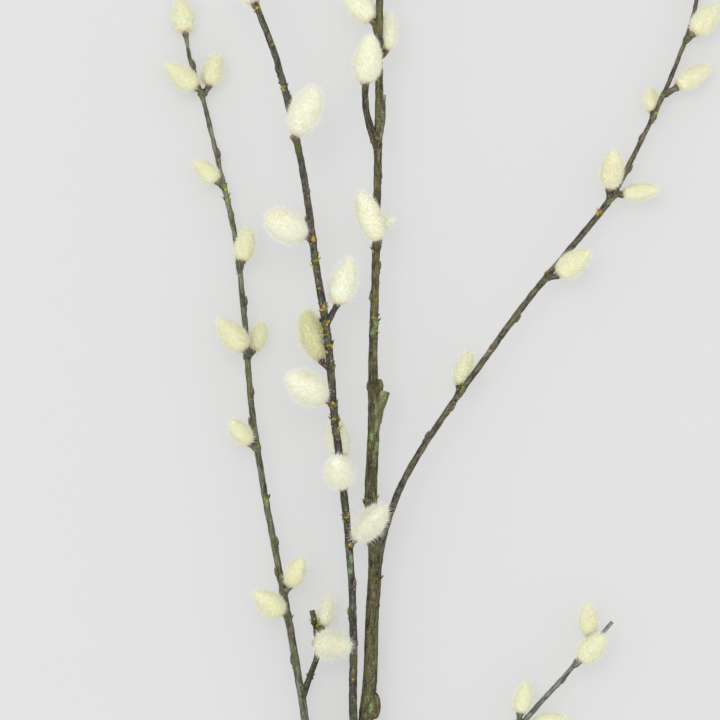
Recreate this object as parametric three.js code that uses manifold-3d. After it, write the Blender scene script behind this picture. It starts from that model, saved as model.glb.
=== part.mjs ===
// A cut willow twig in flower, lying on a flat surface: one branched piece of wood, with a soft
// downy catkin on each flowering bud. Units are millimetres. +Y runs from the cut end to the tips,
// +X to the right and +Z up. The places below are measured from the surface under the cut end. The
// finished twig is then moved so that the origin lies on the surface, under the twig's middle.
import * as THREE from "three";
import { mergeVertices } from "three/addons/utils/BufferGeometryUtils.js";
import Module from "manifold-3d";

const wasm = await Module();
wasm.setup();

// Wood: how finely the shoots are ringed, and the small buds along them
const RING_SPACING = 14;
const SHOOT_SIDES = 9;
const SIDE_SHOOT_SIDES = 7;
const BUD_SPACING = 15;
const BUD_TURN = 137.5;
const BUD_LENGTH = 4.2;
const BUD_RADIUS = 1.1;
const BUD_SIDES = 4;
const BUD_LEAN = 24;
const BUD_CLEAR_OF_CATKIN = 7;

// Spurs: the short stalks that carry the catkins, with a cup of bud scales at the end
const SPUR_RISE = 3;
const SPUR_SIDES = 6;
const SPUR_STEPS = 2;
const SPUR_FOOT = 0.9;
const SPUR_WAIST = 1.25;
const CUP_RADIUS = 1.8;
const CUP_DEPTH = 2.2;
const SEAT_GAP = 0.3;

// Catkins: rows of tufts wound in spirals round an egg. A greater skew moves its widest place towards
// the tip, and a greater taper makes both of its ends slimmer
const TUFTS_AROUND = 10;
const TUFT_ROWS = 9;
const TUFT_HEIGHT = 0.1;
const TUFT_HOLLOW = 0.05;
const TUFT_SWEEP = 0.4;
const EGGS = {
  usual: { skew: 0.75, taper: 0.62 },
  blunt: { skew: 0.95, taper: 0.6 },
  pointed: { skew: 0.72, taper: 0.8 },
};
const BARK_CLEARANCE = 0.6;
const LEAST_REACH = 1;

// The old branch scars, drawn out along the leader: one swells low on it, one at the lip of the cut stub
const BURLS = [
  { place: [0.5, 196.5, 21.4], radius: 3.9, stretch: 2 },
  { place: [3.5, 356.6, 35], radius: 2.1, stretch: 2.2 },
];
const BURL_SIDES = 8;
const BURL_ROWS = 6;

// The surface under the twig, as a slab that trims what is pressed against it
const SLAB = { width: 500, length: 900, depth: 20, middle: 300 };

// Each shoot is a run of points [x, y, z, radius], from its foot in the older wood to its end.
// A catkin sits at the height "at" up the twig, on the side that "turn" gives (0 on top, 90 on the
// right, 180 below, -90 on the left), and stands off the shoot at the angle "lean", towards the
// side "swing" where that isn't its own side. "reach" and "rise" are set where its spur is longer
// than most, and "form" where its egg isn't the usual one. The catkin "end" carries on from the tip
// of its shoot.
const SHOOTS = [
  {
    name: "leader",
    sides: SHOOT_SIDES,
    route: [
      [0, -7, 4.2, 4.8],
      [-0.5, 37, 5.8, 4.7],
      [-3, 80, 8.6, 4.6],
      [-5, 123, 12.5, 4.5],
      [-5, 159, 16.5, 4.4],
      [-3, 189.5, 20.5, 3.85],
      [-1, 209.5, 23, 3.6],
      [0, 240, 26, 3.4],
      [1.5, 270, 28.5, 3.4],
      [-0.5, 300, 31, 3.2],
      [0.7, 335, 33, 2.95],
      [0.5, 370, 34.5, 2.3],
      [1.7, 410, 36, 2],
      [2.7, 460, 37.3, 1.95],
      [3.5, 500, 38.2, 2],
      [3.5, 534.5, 39, 1.95],
      [4.5, 574, 40, 1.65],
      [6, 614, 41, 1.25],
    ],
    buds: { from: 250, to: 600 },
    catkins: [
      { at: 426, turn: 9, swing: -60, lean: 25, length: 28, width: 12.6, form: "blunt" },
      { at: 434.5, turn: 180, swing: 90, lean: 68, length: 9.5, width: 6.8 },
      { at: 521, turn: 150, lean: 12, length: 21, width: 10 },
      { at: 528, turn: -90, lean: 43, length: 22, width: 13, reach: 1.2, rise: 11 },
      { at: 562, turn: 75, lean: 32, length: 23, width: 13 },
      { at: 589, turn: -80, lean: 35, length: 22, width: 12.5 },
    ],
    end: { length: 22, width: 12 },
  },
  {
    name: "left",
    sides: SHOOT_SIDES,
    route: [
      [-2.5, 77.5, 9, 2.6],
      [-11, 95.5, 11, 2.5],
      [-20.5, 121, 13.5, 2.2],
      [-28.5, 154, 16.5, 2.1],
      [-33.5, 189.5, 19, 2],
      [-40, 229.5, 21, 1.85],
      [-47, 267, 21.5, 1.7],
      [-54.5, 306.5, 21, 1.6],
      [-60.5, 347.5, 20, 1.55],
      [-64, 390, 18, 1.45],
      [-68.5, 430, 15.5, 1.35],
      [-77, 468, 12.5, 1.2],
      [-85, 501, 9.5, 1.1],
      [-92, 523, 7.3, 1],
      [-94, 535, 6.2, 0.9],
    ],
    buds: { from: 112, to: 525 },
    catkins: [
      { at: 138, turn: -90, lean: 40, length: 18, width: 11 },
      { at: 164, turn: 70, lean: 36, length: 18, width: 11 },
      { at: 241, turn: -28, swing: -42, lean: 52, length: 22, width: 12.4, form: "pointed" },
      { at: 253, turn: 50, lean: 42, length: 18, width: 10 },
      { at: 325.5, turn: -46, lean: 38, length: 16.5, width: 10 },
      { at: 371.5, turn: -5, swing: -72, lean: 38, length: 22, width: 12.6, form: "pointed" },
      { at: 371.5, turn: 155, swing: 100, lean: 24, length: 16.5, width: 10 },
      { at: 416, turn: 18, swing: 60, lean: 20, length: 18, width: 10.4 },
      { at: 457, turn: -30, swing: -65, lean: 38, length: 16, width: 10, form: "pointed" },
      { at: 503.5, turn: -10, swing: -70, lean: 38, length: 21, width: 11.6, form: "pointed" },
      { at: 503.5, turn: 66, swing: 80, lean: 34, length: 17.5, width: 11 },
    ],
    end: { length: 18, width: 11.5 },
  },
  {
    name: "left_side",
    sides: SIDE_SHOOT_SIDES,
    route: [
      [-35, 201, 19.5, 1.5],
      [-31, 211.5, 20.8, 1.45],
      [-27.5, 222, 22.2, 1.4],
      [-27.5, 231.5, 23.2, 1.4],
      [-30, 244.5, 24.2, 1.35],
    ],
    catkins: [
      { at: 228.5, turn: -10, swing: 62, lean: 92, length: 20, width: 14.5, reach: 3.5, rise: 0 },
      { at: 232, turn: 145, lean: 36, length: 19, width: 9.2 },
    ],
  },
  {
    name: "front",
    sides: SHOOT_SIDES,
    route: [
      [-4.5, 156.5, 17, 2.4],
      [-8.5, 178.5, 21, 2.1],
      [-9.5, 199.5, 25, 2],
      [-9.3, 227.5, 29, 1.95],
      [-10.5, 265, 33.5, 1.8],
      [-14, 302.5, 38, 1.9],
      [-18.5, 340, 43, 1.95],
      [-22, 380, 47, 1.95],
      [-28, 418.5, 50.5, 1.85],
      [-33.5, 459, 53.5, 1.75],
      [-40.5, 492.5, 56, 1.7],
      [-47.5, 519.5, 57.5, 1.65],
      [-54.5, 538, 58.5, 1.6],
      [-58, 546.5, 59, 1.55],
    ],
    buds: { from: 212, to: 535 },
    catkins: [
      { at: 277.5, turn: 56, lean: 49, length: 26, width: 13, form: "blunt" },
      { at: 307, turn: -4, lean: 52, length: 24, width: 14.4 },
      { at: 317, turn: 178, lean: 20, length: 21.5, width: 11.5 },
      { at: 348, turn: -50, lean: 56, length: 27, width: 16.2, form: "blunt" },
      { at: 366.5, turn: -135, lean: 18, length: 27.5, width: 12.4, form: "blunt" },
      { at: 388.5, turn: 85, lean: 25, length: 25, width: 12.8, reach: 5, rise: 8 },
      { at: 429, turn: -42, swing: -60, lean: 57, length: 24.5, width: 16.2, form: "blunt" },
      { at: 478.5, turn: -3, swing: 72, lean: 37, length: 27.5, width: 15.3, form: "blunt" },
    ],
    end: { length: 24, width: 14 },
  },
  {
    name: "leader_side",
    sides: SIDE_SHOOT_SIDES,
    route: [
      [3, 476.5, 37.7, 1.9],
      [-0.5, 485, 39.5, 1.8],
      [-3, 494.5, 42.5, 1.65],
      [-3.5, 507.5, 45.5, 1.55],
    ],
    catkins: [],
    end: { length: 25.5, width: 14.4, turn: 60, lean: 10 },
  },
  {
    name: "right",
    sides: SHOOT_SIDES,
    route: [
      [0.8, 247, 27, 2.2],
      [2.5, 264, 28, 2.2],
      [6, 283.5, 29.5, 2],
      [16, 310, 30.5, 1.7],
      [34.5, 340, 30.5, 1.55],
      [56, 370, 29, 1.55],
      [78, 400, 26.5, 1.6],
      [103, 430, 23, 1.55],
      [119, 450, 20.6, 1.6],
      [130.5, 470.5, 18.2, 1.25],
      [145, 500, 15, 1.15],
      [154.5, 522, 12, 1.1],
      [161.5, 541.5, 9.3, 1.1],
      [166, 564.5, 7.2, 1],
      [169, 582, 5.7, 0.9],
    ],
    buds: { from: 300, to: 575 },
    catkins: [
      { at: 353, turn: -162, swing: -120, lean: 22, length: 20, width: 10 },
      { at: 412, turn: 35, lean: 20, length: 21, width: 12 },
      { at: 451, turn: -40, lean: 38, length: 22, width: 12 },
      { at: 452.5, turn: 70, lean: 53, length: 19, width: 9 },
      { at: 492, turn: -176, swing: -120, lean: 36, length: 14.5, width: 9 },
      { at: 503.5, turn: 90, lean: 32, length: 21, width: 10, reach: 3.5, rise: 6 },
      { at: 531, turn: 20, swing: 70, lean: 22, length: 20.5, width: 12 },
      { at: 559, turn: -85, lean: 38, length: 18, width: 10 },
    ],
    end: { length: 18, width: 11 },
  },
  {
    name: "low",
    sides: SHOOT_SIDES,
    route: [
      [-3.5, 100.5, 10.5, 2.1],
      [15, 119.5, 13, 1.7],
      [36.5, 142.5, 15.5, 1.6],
      [58.5, 168, 17.5, 1.5],
      [78, 190.5, 19, 1.35],
      [95, 209.5, 20.2, 1.2],
      [109.5, 225.5, 21, 1.1],
      [120.5, 238.5, 21.5, 0.9],
    ],
    buds: { from: 118, to: 232 },
    catkins: [
      { at: 150, turn: -85, lean: 36, length: 18, width: 10.5 },
      { at: 187, turn: 80, lean: 35, length: 18, width: 11 },
      { at: 186, turn: -60, swing: -85, lean: 29, length: 17.5, width: 9, rise: 5 },
      { at: 217.5, turn: 0, lean: 18, length: 19, width: 12 },
      { at: 226, turn: -95, lean: 44, length: 18, width: 9.6 },
    ],
  },
  {
    name: "upper_stub",
    sides: SIDE_SHOOT_SIDES,
    route: [
      [2.9, 473, 37.6, 0.8],
      [4.2, 482, 38.2, 1.3],
      [5.2, 489.5, 38.7, 1.5],
      [5.5, 502, 39.2, 1.35],
    ],
    catkins: [],
  },
  {
    name: "cut_stub",
    sides: SIDE_SHOOT_SIDES,
    route: [
      [0.9, 333, 33.2, 1.7],
      [3.6, 345, 34, 2.4],
      [6.2, 354.4, 34.6, 2.8],
    ],
    catkins: [],
  },
];

const HALVINGS = 30;
const UP = new THREE.Vector3(0, 0, 1);
const ALONG = new THREE.Vector3(0, 1, 0);
const radians = THREE.MathUtils.degToRad;
const lerp = THREE.MathUtils.lerp;

// A geometry's triangles as a solid that can be joined and cut
function solidOf(geometry) {
  const bare = geometry.clone();
  bare.deleteAttribute("normal");
  bare.deleteAttribute("uv");
  const merged = mergeVertices(bare, 1e-4);
  return new wasm.Manifold(new wasm.Mesh({
    numProp: 3,
    vertProperties: new Float32Array(merged.attributes.position.array),
    triVerts: new Uint32Array(merged.index.array),
  }));
}

// The way back, from a joined or cut solid to a geometry
function geometryOf(solid) {
  const mesh = solid.getMesh();
  const geometry = new THREE.BufferGeometry();
  geometry.setAttribute("position", new THREE.BufferAttribute(mesh.vertProperties, 3));
  geometry.setIndex(new THREE.BufferAttribute(mesh.triVerts, 1));
  geometry.computeVertexNormals();
  return geometry;
}

// Right and up across a direction, so that a section never twists along a shoot
function axesAcross(tangent) {
  const right = new THREE.Vector3().crossVectors(tangent, UP).normalize();
  const up = new THREE.Vector3().crossVectors(right, tangent);
  return { right, up };
}

// A closed round bar whose middle line follows a curve, with a radius that changes along it
function barAlong(curve, radiusAt, steps, sides) {
  const bar = new THREE.CylinderGeometry(1, 1, 1, sides, steps);
  const place = bar.attributes.position;
  for (let i = 0; i < place.count; i += 1) {
    const t = place.getY(i) + 0.5;
    const { right, up } = axesAcross(curve.getTangent(t));
    const point = curve.getPoint(t);
    point.addScaledVector(right, place.getX(i) * radiusAt(t));
    point.addScaledVector(up, place.getZ(i) * radiusAt(t));
    place.setXYZ(i, point.x, point.y, point.z);
  }
  return bar;
}

// The middle line of a shoot and its radius along it
function growShoot(shoot) {
  const points = shoot.route.map(([x, y, z]) => new THREE.Vector3(x, y, z));
  const curve = new THREE.CatmullRomCurve3(points, false, "centripetal");
  const radiusAt = (t) => {
    const place = t * (shoot.route.length - 1);
    const index = Math.min(Math.floor(place), shoot.route.length - 2);
    return lerp(shoot.route[index][3], shoot.route[index + 1][3], place - index);
  };
  return { ...shoot, curve, radiusAt };
}

// Where a shoot reaches a height up the twig, with the directions across it there
function nodeAt(shoot, height) {
  let low = 0;
  let high = 1;
  for (let i = 0; i < HALVINGS; i += 1) {
    const middle = (low + high) / 2;
    if (shoot.curve.getPoint(middle).y < height) low = middle;
    else high = middle;
  }
  const tangent = shoot.curve.getTangent(low);
  return { point: shoot.curve.getPoint(low), tangent, radius: shoot.radiusAt(low), ...axesAcross(tangent) };
}

// Outward from a shoot on the given side
function outwardAt(node, turn) {
  const outward = node.up.clone().multiplyScalar(Math.cos(radians(turn)));
  return outward.addScaledVector(node.right, Math.sin(radians(turn)));
}

// The direction that stands off a shoot at an angle
function leaningFrom(node, outward, lean) {
  const direction = node.tangent.clone().multiplyScalar(Math.cos(radians(lean)));
  return direction.addScaledVector(outward, Math.sin(radians(lean)));
}

// The egg's half width at a share of the catkin's length, as a share of its greatest half width
function eggAt(catkin, share) {
  const { skew, taper } = EGGS[catkin.form ?? "usual"];
  return Math.sin(Math.PI * share ** skew) ** taper;
}

// How far out a spur has to carry a catkin for its flank to clear the bark
function reachOf(catkin) {
  const askew = (catkin.swing ?? catkin.turn) - catkin.turn;
  let reach = LEAST_REACH;
  for (let row = 1; row < TUFT_ROWS; row += 1) {
    const share = row / TUFT_ROWS;
    const flank = (catkin.width / 2) * (1 + TUFT_HEIGHT) * eggAt(catkin, share);
    const away = catkin.length * share * Math.sin(radians(catkin.lean)) * Math.cos(radians(askew));
    reach = Math.max(reach, flank - away + BARK_CLEARANCE);
  }
  return reach;
}

// A spur from the shoot's middle line out to the catkin's foot, and the seat at its end
function growSpur(shoot, catkin) {
  const node = nodeAt(shoot, catkin.at);
  const outward = outwardAt(node, catkin.turn);
  const swung = outwardAt(node, catkin.swing ?? catkin.turn);
  const direction = leaningFrom(node, swung, catkin.lean);
  const reach = catkin.reach ?? reachOf(catkin);
  const seat = node.point.clone();
  seat.addScaledVector(outward, node.radius + reach);
  seat.addScaledVector(node.tangent, catkin.rise ?? SPUR_RISE);
  const neck = seat.clone().addScaledVector(direction, -CUP_DEPTH);
  const curve = new THREE.QuadraticBezierCurve3(node.point, neck, seat);
  const radiusAt = (t) => {
    if (t < 0.5) return lerp(node.radius * SPUR_FOOT, SPUR_WAIST, t * 2);
    return lerp(SPUR_WAIST, CUP_RADIUS, t * 2 - 1);
  };
  const wood = barAlong(curve, radiusAt, SPUR_STEPS, SPUR_SIDES);
  return { wood, seat, direction };
}

// The seat of a catkin that ends a shoot
function endSeat(shoot) {
  const tangent = shoot.curve.getTangent(1);
  const node = { tangent, ...axesAcross(tangent) };
  const outward = outwardAt(node, shoot.end.turn ?? 0);
  return { seat: shoot.curve.getPoint(1), direction: leaningFrom(node, outward, shoot.end.lean ?? 0) };
}

// A small closed bud, laid against the shoot with its root sunk in
function growBud(shoot, height, turn) {
  const node = nodeAt(shoot, height);
  const outward = outwardAt(node, turn);
  const direction = leaningFrom(node, outward, BUD_LEAN);
  const bud = new THREE.ConeGeometry(BUD_RADIUS, BUD_LENGTH, BUD_SIDES);
  bud.translate(0, BUD_LENGTH / 2, 0);
  bud.applyQuaternion(new THREE.Quaternion().setFromUnitVectors(ALONG, direction));
  const root = node.point.clone().addScaledVector(outward, node.radius - BUD_RADIUS / 2);
  bud.translate(root.x, root.y, root.z);
  return bud;
}

// The buds of a shoot climb it in a spiral and leave out the places where catkins sit
function budsOf(shoot) {
  const buds = [];
  if (!shoot.buds) return buds;
  for (let count = 0; shoot.buds.from + count * BUD_SPACING < shoot.buds.to; count += 1) {
    const height = shoot.buds.from + count * BUD_SPACING;
    const free = shoot.catkins.every((catkin) => Math.abs(catkin.at - height) > BUD_CLEAR_OF_CATKIN);
    if (free) buds.push(growBud(shoot, height, count * BUD_TURN));
  }
  return buds;
}

// A catkin standing on its foot at the origin, along +Y: every other point of each row is a tuft,
// raised and swept towards the tip
function catkinBody(catkin) {
  const egg = new THREE.SphereGeometry(1, TUFTS_AROUND, TUFT_ROWS);
  const place = egg.attributes.position;
  for (let i = 0; i < place.count; i += 1) {
    const row = TUFT_ROWS - Math.floor(i / (TUFTS_AROUND + 1));
    const column = (i % (TUFTS_AROUND + 1)) % TUFTS_AROUND;
    const onPole = row === 0 || row === TUFT_ROWS;
    const tuft = !onPole && (row + column) % 2 === 0;
    const angle = (2 * Math.PI * (column - row / 2)) / TUFTS_AROUND;
    const share = (row + (tuft ? TUFT_SWEEP : 0)) / TUFT_ROWS;
    const swell = tuft ? 1 + TUFT_HEIGHT : 1 - TUFT_HOLLOW;
    const out = onPole ? 0 : (catkin.width / 2) * eggAt(catkin, row / TUFT_ROWS) * swell;
    place.setXYZ(i, out * Math.sin(angle), catkin.length * share, out * Math.cos(angle));
  }
  return egg;
}

// Bark of the wood, and down of the catkins
function barkFinish() {
  return new THREE.MeshStandardMaterial({ color: 0x4b443d, roughness: 0.75, metalness: 0 });
}

function downFinish() {
  return new THREE.MeshStandardMaterial({ color: 0xe9ead2, roughness: 0.95, metalness: 0 });
}

const slabBox = new THREE.BoxGeometry(SLAB.width, SLAB.length, SLAB.depth);
slabBox.translate(0, SLAB.middle, -SLAB.depth / 2);
const shoots = SHOOTS.map(growShoot);
const twig = new THREE.Group();

// A catkin's mesh on its seat, trimmed flat where it is pressed on the surface
function addCatkin(name, catkin, { seat, direction }) {
  const mesh = new THREE.Mesh(undefined, downFinish());
  mesh.name = name;
  mesh.position.copy(seat).addScaledVector(direction, SEAT_GAP);
  mesh.quaternion.setFromUnitVectors(ALONG, direction);
  mesh.updateMatrix();
  const slab = slabBox.clone().applyMatrix4(mesh.matrix.clone().invert());
  mesh.geometry = geometryOf(solidOf(catkinBody(catkin)).subtract(solidOf(slab)));
  twig.add(mesh);
}

// All the wood grew as one piece: shoots, spurs, buds and burls are joined in one solid
const pieces = BURLS.map(({ place, radius, stretch }) => {
  const burl = new THREE.SphereGeometry(radius, BURL_SIDES, BURL_ROWS);
  return burl.scale(1, stretch, 1).translate(...place);
});
for (const shoot of shoots) {
  const steps = Math.ceil(shoot.curve.getLength() / RING_SPACING);
  pieces.push(barAlong(shoot.curve, shoot.radiusAt, steps, shoot.sides));
  pieces.push(...budsOf(shoot));
  shoot.catkins.forEach((catkin, index) => {
    const spur = growSpur(shoot, catkin);
    pieces.push(spur.wood);
    addCatkin(`catkin_${shoot.name}_${index + 1}`, catkin, spur);
  });
  if (shoot.end) addCatkin(`catkin_${shoot.name}_end`, shoot.end, endSeat(shoot));
}
const joined = pieces.map(solidOf).reduce((wood, piece) => wood.add(piece));
const wood = new THREE.Mesh(geometryOf(joined.subtract(solidOf(slabBox))), barkFinish());
wood.name = "wood";
twig.add(wood);

const middle = new THREE.Box3().setFromObject(twig, true).getCenter(new THREE.Vector3());
twig.position.set(-middle.x, -middle.y, 0);

export default twig;
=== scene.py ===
# %% [markdown]
# # A willow twig in flower
# A cut spray of willow lies on a pale surface: slim dark shoots with small closed buds, and soft
# downy catkins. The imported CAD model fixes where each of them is. This script keeps those places
# and adds what faceted solids can't show: round bark with grain, scars and moss, bud scales, and
# thousands of fine hairs.

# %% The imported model, loaded as a fixed frame
import math

import bpy
import numpy as np
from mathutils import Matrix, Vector
from mathutils.bvhtree import BVHTree


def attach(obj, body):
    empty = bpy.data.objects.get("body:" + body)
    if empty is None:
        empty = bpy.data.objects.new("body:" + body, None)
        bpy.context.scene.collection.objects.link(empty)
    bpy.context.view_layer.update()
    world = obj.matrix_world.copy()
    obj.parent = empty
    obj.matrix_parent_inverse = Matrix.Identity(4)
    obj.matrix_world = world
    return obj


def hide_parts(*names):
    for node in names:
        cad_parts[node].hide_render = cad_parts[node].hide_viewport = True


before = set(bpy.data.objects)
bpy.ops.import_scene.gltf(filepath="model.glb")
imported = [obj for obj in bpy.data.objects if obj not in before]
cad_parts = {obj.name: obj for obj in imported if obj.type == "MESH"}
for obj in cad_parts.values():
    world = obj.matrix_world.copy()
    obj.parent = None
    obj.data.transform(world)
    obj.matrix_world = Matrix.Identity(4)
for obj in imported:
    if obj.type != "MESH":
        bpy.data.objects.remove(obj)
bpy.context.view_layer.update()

MM = 0.001

# %% [markdown]
# The places along the shoots are measured in millimetres from the surface under the cut end, as on
# a bench with the twig laid along a ruler. The CAD wood says where that point is in the frame: it
# is found here from the middle of the cut face, so nothing has to be fitted by eye.

# %% Where the ruler starts
CUT_FACE_BAND = 0.6 * MM
CUT_FACE_ON_RULER = -7 * MM

wood_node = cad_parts["wood"]
wood_points = np.array([vertex.co for vertex in wood_node.data.vertices])
wood_surface = BVHTree.FromPolygons(
    [Vector(point) for point in wood_points],
    [face.vertices[:] for face in wood_node.data.polygons],
)
cut_face = wood_points[wood_points[:, 1] < wood_points[:, 1].min() + CUT_FACE_BAND]
cut_middle = (cut_face.min(axis=0) + cut_face.max(axis=0)) / 2
RULER = np.array([cut_middle[0], cut_middle[1] - CUT_FACE_ON_RULER, 0.0])
print("ruler starts at", RULER.round(5))

# %% [markdown]
# The photograph looks at the spray square on, from far away with a long lens, so the shoots hardly
# change in scale. Laid on a table, the same view is straight down. Half a millimetre of twig fills
# one of the 720 pixels at the height where most shoots lie.

# %% The camera
IMAGE_PIXELS = 720
PIXEL_SIZE = 0.5 * MM
FOCUS_HEIGHT = 30 * MM
CAMERA_AWAY = 2.5
VIEW_MIDDLE = np.array([-6, 370, 0]) * MM
SENSOR_WIDTH = 36
FURTHEST_SEEN = 100

camera_data = bpy.data.cameras.new("long_lens")
camera_data.sensor_width = SENSOR_WIDTH
camera_data.lens = SENSOR_WIDTH * CAMERA_AWAY / (IMAGE_PIXELS * PIXEL_SIZE)
camera_data.clip_end = FURTHEST_SEEN
camera = bpy.data.objects.new("long_lens", camera_data)
camera.location = Vector(RULER + VIEW_MIDDLE) + Vector((0, 0, FOCUS_HEIGHT + CAMERA_AWAY))
bpy.context.scene.collection.objects.link(camera)
bpy.context.scene.camera = camera
print("lens", round(camera_data.lens, 1), "mm at", [round(c, 3) for c in camera.location])

# %% [markdown]
# A shoot is described by a few points picked along its middle line: how far to the right of the ruler,
# how far along it, how high above the table, and the shoot's radius there. The leader is the oldest
# wood, and the left shoot leaves it low down.

# %% The leader and the left shoot
ROUTES = {
    "leader": [
        (0, -7, 4.2, 4.8), (-0.5, 37, 5.8, 4.7), (-3, 80, 8.6, 4.6), (-5, 123, 12.5, 4.5),
        (-5, 159, 16.5, 4.4), (-3, 189.5, 20.5, 3.85), (-1, 209.5, 23, 3.6), (0, 240, 26, 3.4),
        (1.5, 270, 28.5, 3.4), (-0.5, 300, 31, 3.2), (0.7, 335, 33, 2.95), (0.5, 370, 34.5, 2.3),
        (1.7, 410, 36, 2), (2.7, 460, 37.3, 1.95), (3.5, 500, 38.2, 2), (3.5, 534.5, 39, 1.95),
        (4.5, 574, 40, 1.65), (6, 614, 41, 1.25),
    ],
    "left": [
        (-2.5, 77.5, 9, 2.6), (-11, 95.5, 11, 2.5), (-20.5, 121, 13.5, 2.2), (-28.5, 154, 16.5, 2.1),
        (-33.5, 189.5, 19, 2), (-40, 229.5, 21, 1.85), (-47, 267, 21.5, 1.7), (-54.5, 306.5, 21, 1.6),
        (-60.5, 347.5, 20, 1.55), (-64, 390, 18, 1.45), (-68.5, 430, 15.5, 1.35), (-77, 468, 12.5, 1.2),
        (-85, 501, 9.5, 1.1), (-92, 523, 7.3, 1), (-94, 535, 6.2, 0.9),
    ],
}
print("first shoots:", ", ".join(ROUTES))

# %% [markdown]
# Three more long shoots: the front one rises highest off the table, the right one bows away from the
# leader, and the low one leans far out and was cut short.

# %% The front, right and low shoots
ROUTES["front"] = [
    (-4.5, 156.5, 17, 2.4), (-8.5, 178.5, 21, 2.1), (-9.5, 199.5, 25, 2), (-9.3, 227.5, 29, 1.95),
    (-10.5, 265, 33.5, 1.8), (-14, 302.5, 38, 1.9), (-18.5, 340, 43, 1.95), (-22, 380, 47, 1.95),
    (-28, 418.5, 50.5, 1.85), (-33.5, 459, 53.5, 1.75), (-40.5, 492.5, 56, 1.7),
    (-47.5, 519.5, 57.5, 1.65), (-54.5, 538, 58.5, 1.6), (-58, 546.5, 59, 1.55),
]
ROUTES["right"] = [
    (0.8, 247, 27, 2.2), (2.5, 264, 28, 2.2), (6, 283.5, 29.5, 2), (16, 310, 30.5, 1.7),
    (34.5, 340, 30.5, 1.55), (56, 370, 29, 1.55), (78, 400, 26.5, 1.6), (103, 430, 23, 1.55),
    (119, 450, 20.6, 1.6), (130.5, 470.5, 18.2, 1.25), (145, 500, 15, 1.15), (154.5, 522, 12, 1.1),
    (161.5, 541.5, 9.3, 1.1), (166, 564.5, 7.2, 1), (169, 582, 5.7, 0.9),
]
ROUTES["low"] = [
    (-3.5, 100.5, 10.5, 2.1), (15, 119.5, 13, 1.7), (36.5, 142.5, 15.5, 1.6), (58.5, 168, 17.5, 1.5),
    (78, 190.5, 19, 1.35), (95, 209.5, 20.2, 1.2), (109.5, 225.5, 21, 1.1), (120.5, 238.5, 21.5, 0.9),
]
print("long shoots:", ", ".join(ROUTES))

# %% [markdown]
# Two short side shoots, and two stubs that were left where a shoot was cut away. Each starts inside
# the wood that carries it, so that no seam shows.

# %% The short shoots and the stubs
ROUTES["left_side"] = [
    (-35, 201, 19.5, 1.5), (-31, 211.5, 20.8, 1.45), (-27.5, 222, 22.2, 1.4), (-27.5, 231.5, 23.2, 1.4),
    (-30, 244.5, 24.2, 1.35),
]
ROUTES["leader_side"] = [
    (3, 476.5, 37.7, 1.9), (-0.5, 485, 39.5, 1.8), (-3, 494.5, 42.5, 1.65), (-3.5, 507.5, 45.5, 1.55),
]
ROUTES["upper_stub"] = [
    (2.9, 473, 37.6, 0.8), (4.2, 482, 38.2, 1.3), (5.2, 489.5, 38.7, 1.5), (5.5, 502, 39.2, 1.35),
]
ROUTES["cut_stub"] = [(0.9, 333, 33.2, 1.7), (3.6, 345, 34, 2.4), (6.2, 354.4, 34.6, 2.8)]
print("shoots in all:", len(ROUTES))

# %% [markdown]
# Bark differs from shoot to shoot: the leader is olive brown, the front shoot purplish with golden
# leaf scars, the left one grey green. Each shoot has a tone and a flush, which is how golden its scars
# are.

# %% How each shoot looks
BARKS = {
    "leader": ("#4c4830", 0.45), "left": ("#5a5b4b", 0.3), "left_side": ("#3c3e2a", 0.2),
    "front": ("#423f3b", 1.0), "leader_side": ("#3d392d", 0.4), "right": ("#544f41", 0.45),
    "low": ("#6b6d69", 0.3), "upper_stub": ("#6b6857", 0.4), "cut_stub": ("#665f4b", 0.4),
}
print("tones:", [tone for tone, _ in BARKS.values()])

# %% [markdown]
# A growing shoot bends smoothly, so the line through its points has to as well. A spline with
# centripetal spacing passes through every point and never loops between two close ones. The CAD wood
# follows the same line, so each smooth shoot lies in the place of its faceted one.

# %% A smooth line through points
RING_SPACING = 0.9 * MM
SHORTEST_STEP = 1e-9


def smooth_line(route):
    """Rows of x, y, z, radius about a ring's spacing apart on a smooth line through the route, in metres."""
    knots = np.array(route, dtype=float) * MM
    padded = np.vstack([2 * knots[0] - knots[1], knots, 2 * knots[-1] - knots[-2]])
    rows = []
    for start in range(1, len(padded) - 2):
        a, b, c, d = padded[start - 1:start + 3]
        steps = [np.linalg.norm((q - p)[:3]) for p, q in ((a, b), (b, c), (c, d))]
        before, here, after = (max(step**0.5, SHORTEST_STEP) for step in steps)
        leave = ((b - a) / before - (c - a) / (before + here) + (c - b) / here) * here
        arrive = ((c - b) / here - (d - b) / (here + after) + (d - c) / after) * here
        count = max(2, round(steps[1] / RING_SPACING))
        for s in np.arange(count) / count:
            row = (2 * s**3 - 3 * s**2 + 1) * b + (s**3 - 2 * s**2 + s) * leave
            row += (3 * s**2 - 2 * s**3) * c + (s**3 - s**2) * arrive
            row[3] = b[3] + (c[3] - b[3]) * s
            rows.append(row)
    rows.append(knots[-1])
    return np.array(rows) + np.append(RULER, 0)


lines = {name: smooth_line(ROUTES[name]) for name in BARKS}
print("rings:", sum(len(line) for line in lines.values()))

# %% [markdown]
# A quick test on the right shoot, which bends most: if the line is the one that the CAD wood follows,
# the CAD bark is one radius away from it everywhere.

# %% How well the line fits the CAD bark
TESTED_RINGS = slice(60, -60, 40)
tested = lines["right"][TESTED_RINGS]
misses = [wood_surface.find_nearest(Vector(row[:3]))[3] - row[3] for row in tested]
print("largest miss of the CAD bark, mm:", round(max(abs(miss) for miss in misses) / MM, 2))


# %% [markdown]
# Buds, scars and spurs all sit at a node: a height on the shoot and a side of it. One helper gives
# the point on the middle line there, the direction of growth, and the way outward on that side. The
# sides are counted in degrees from the top of the lying twig, so 90 is its right side.

# %% A node on a shoot
def unit(vector):
    return vector / np.linalg.norm(vector)


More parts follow.
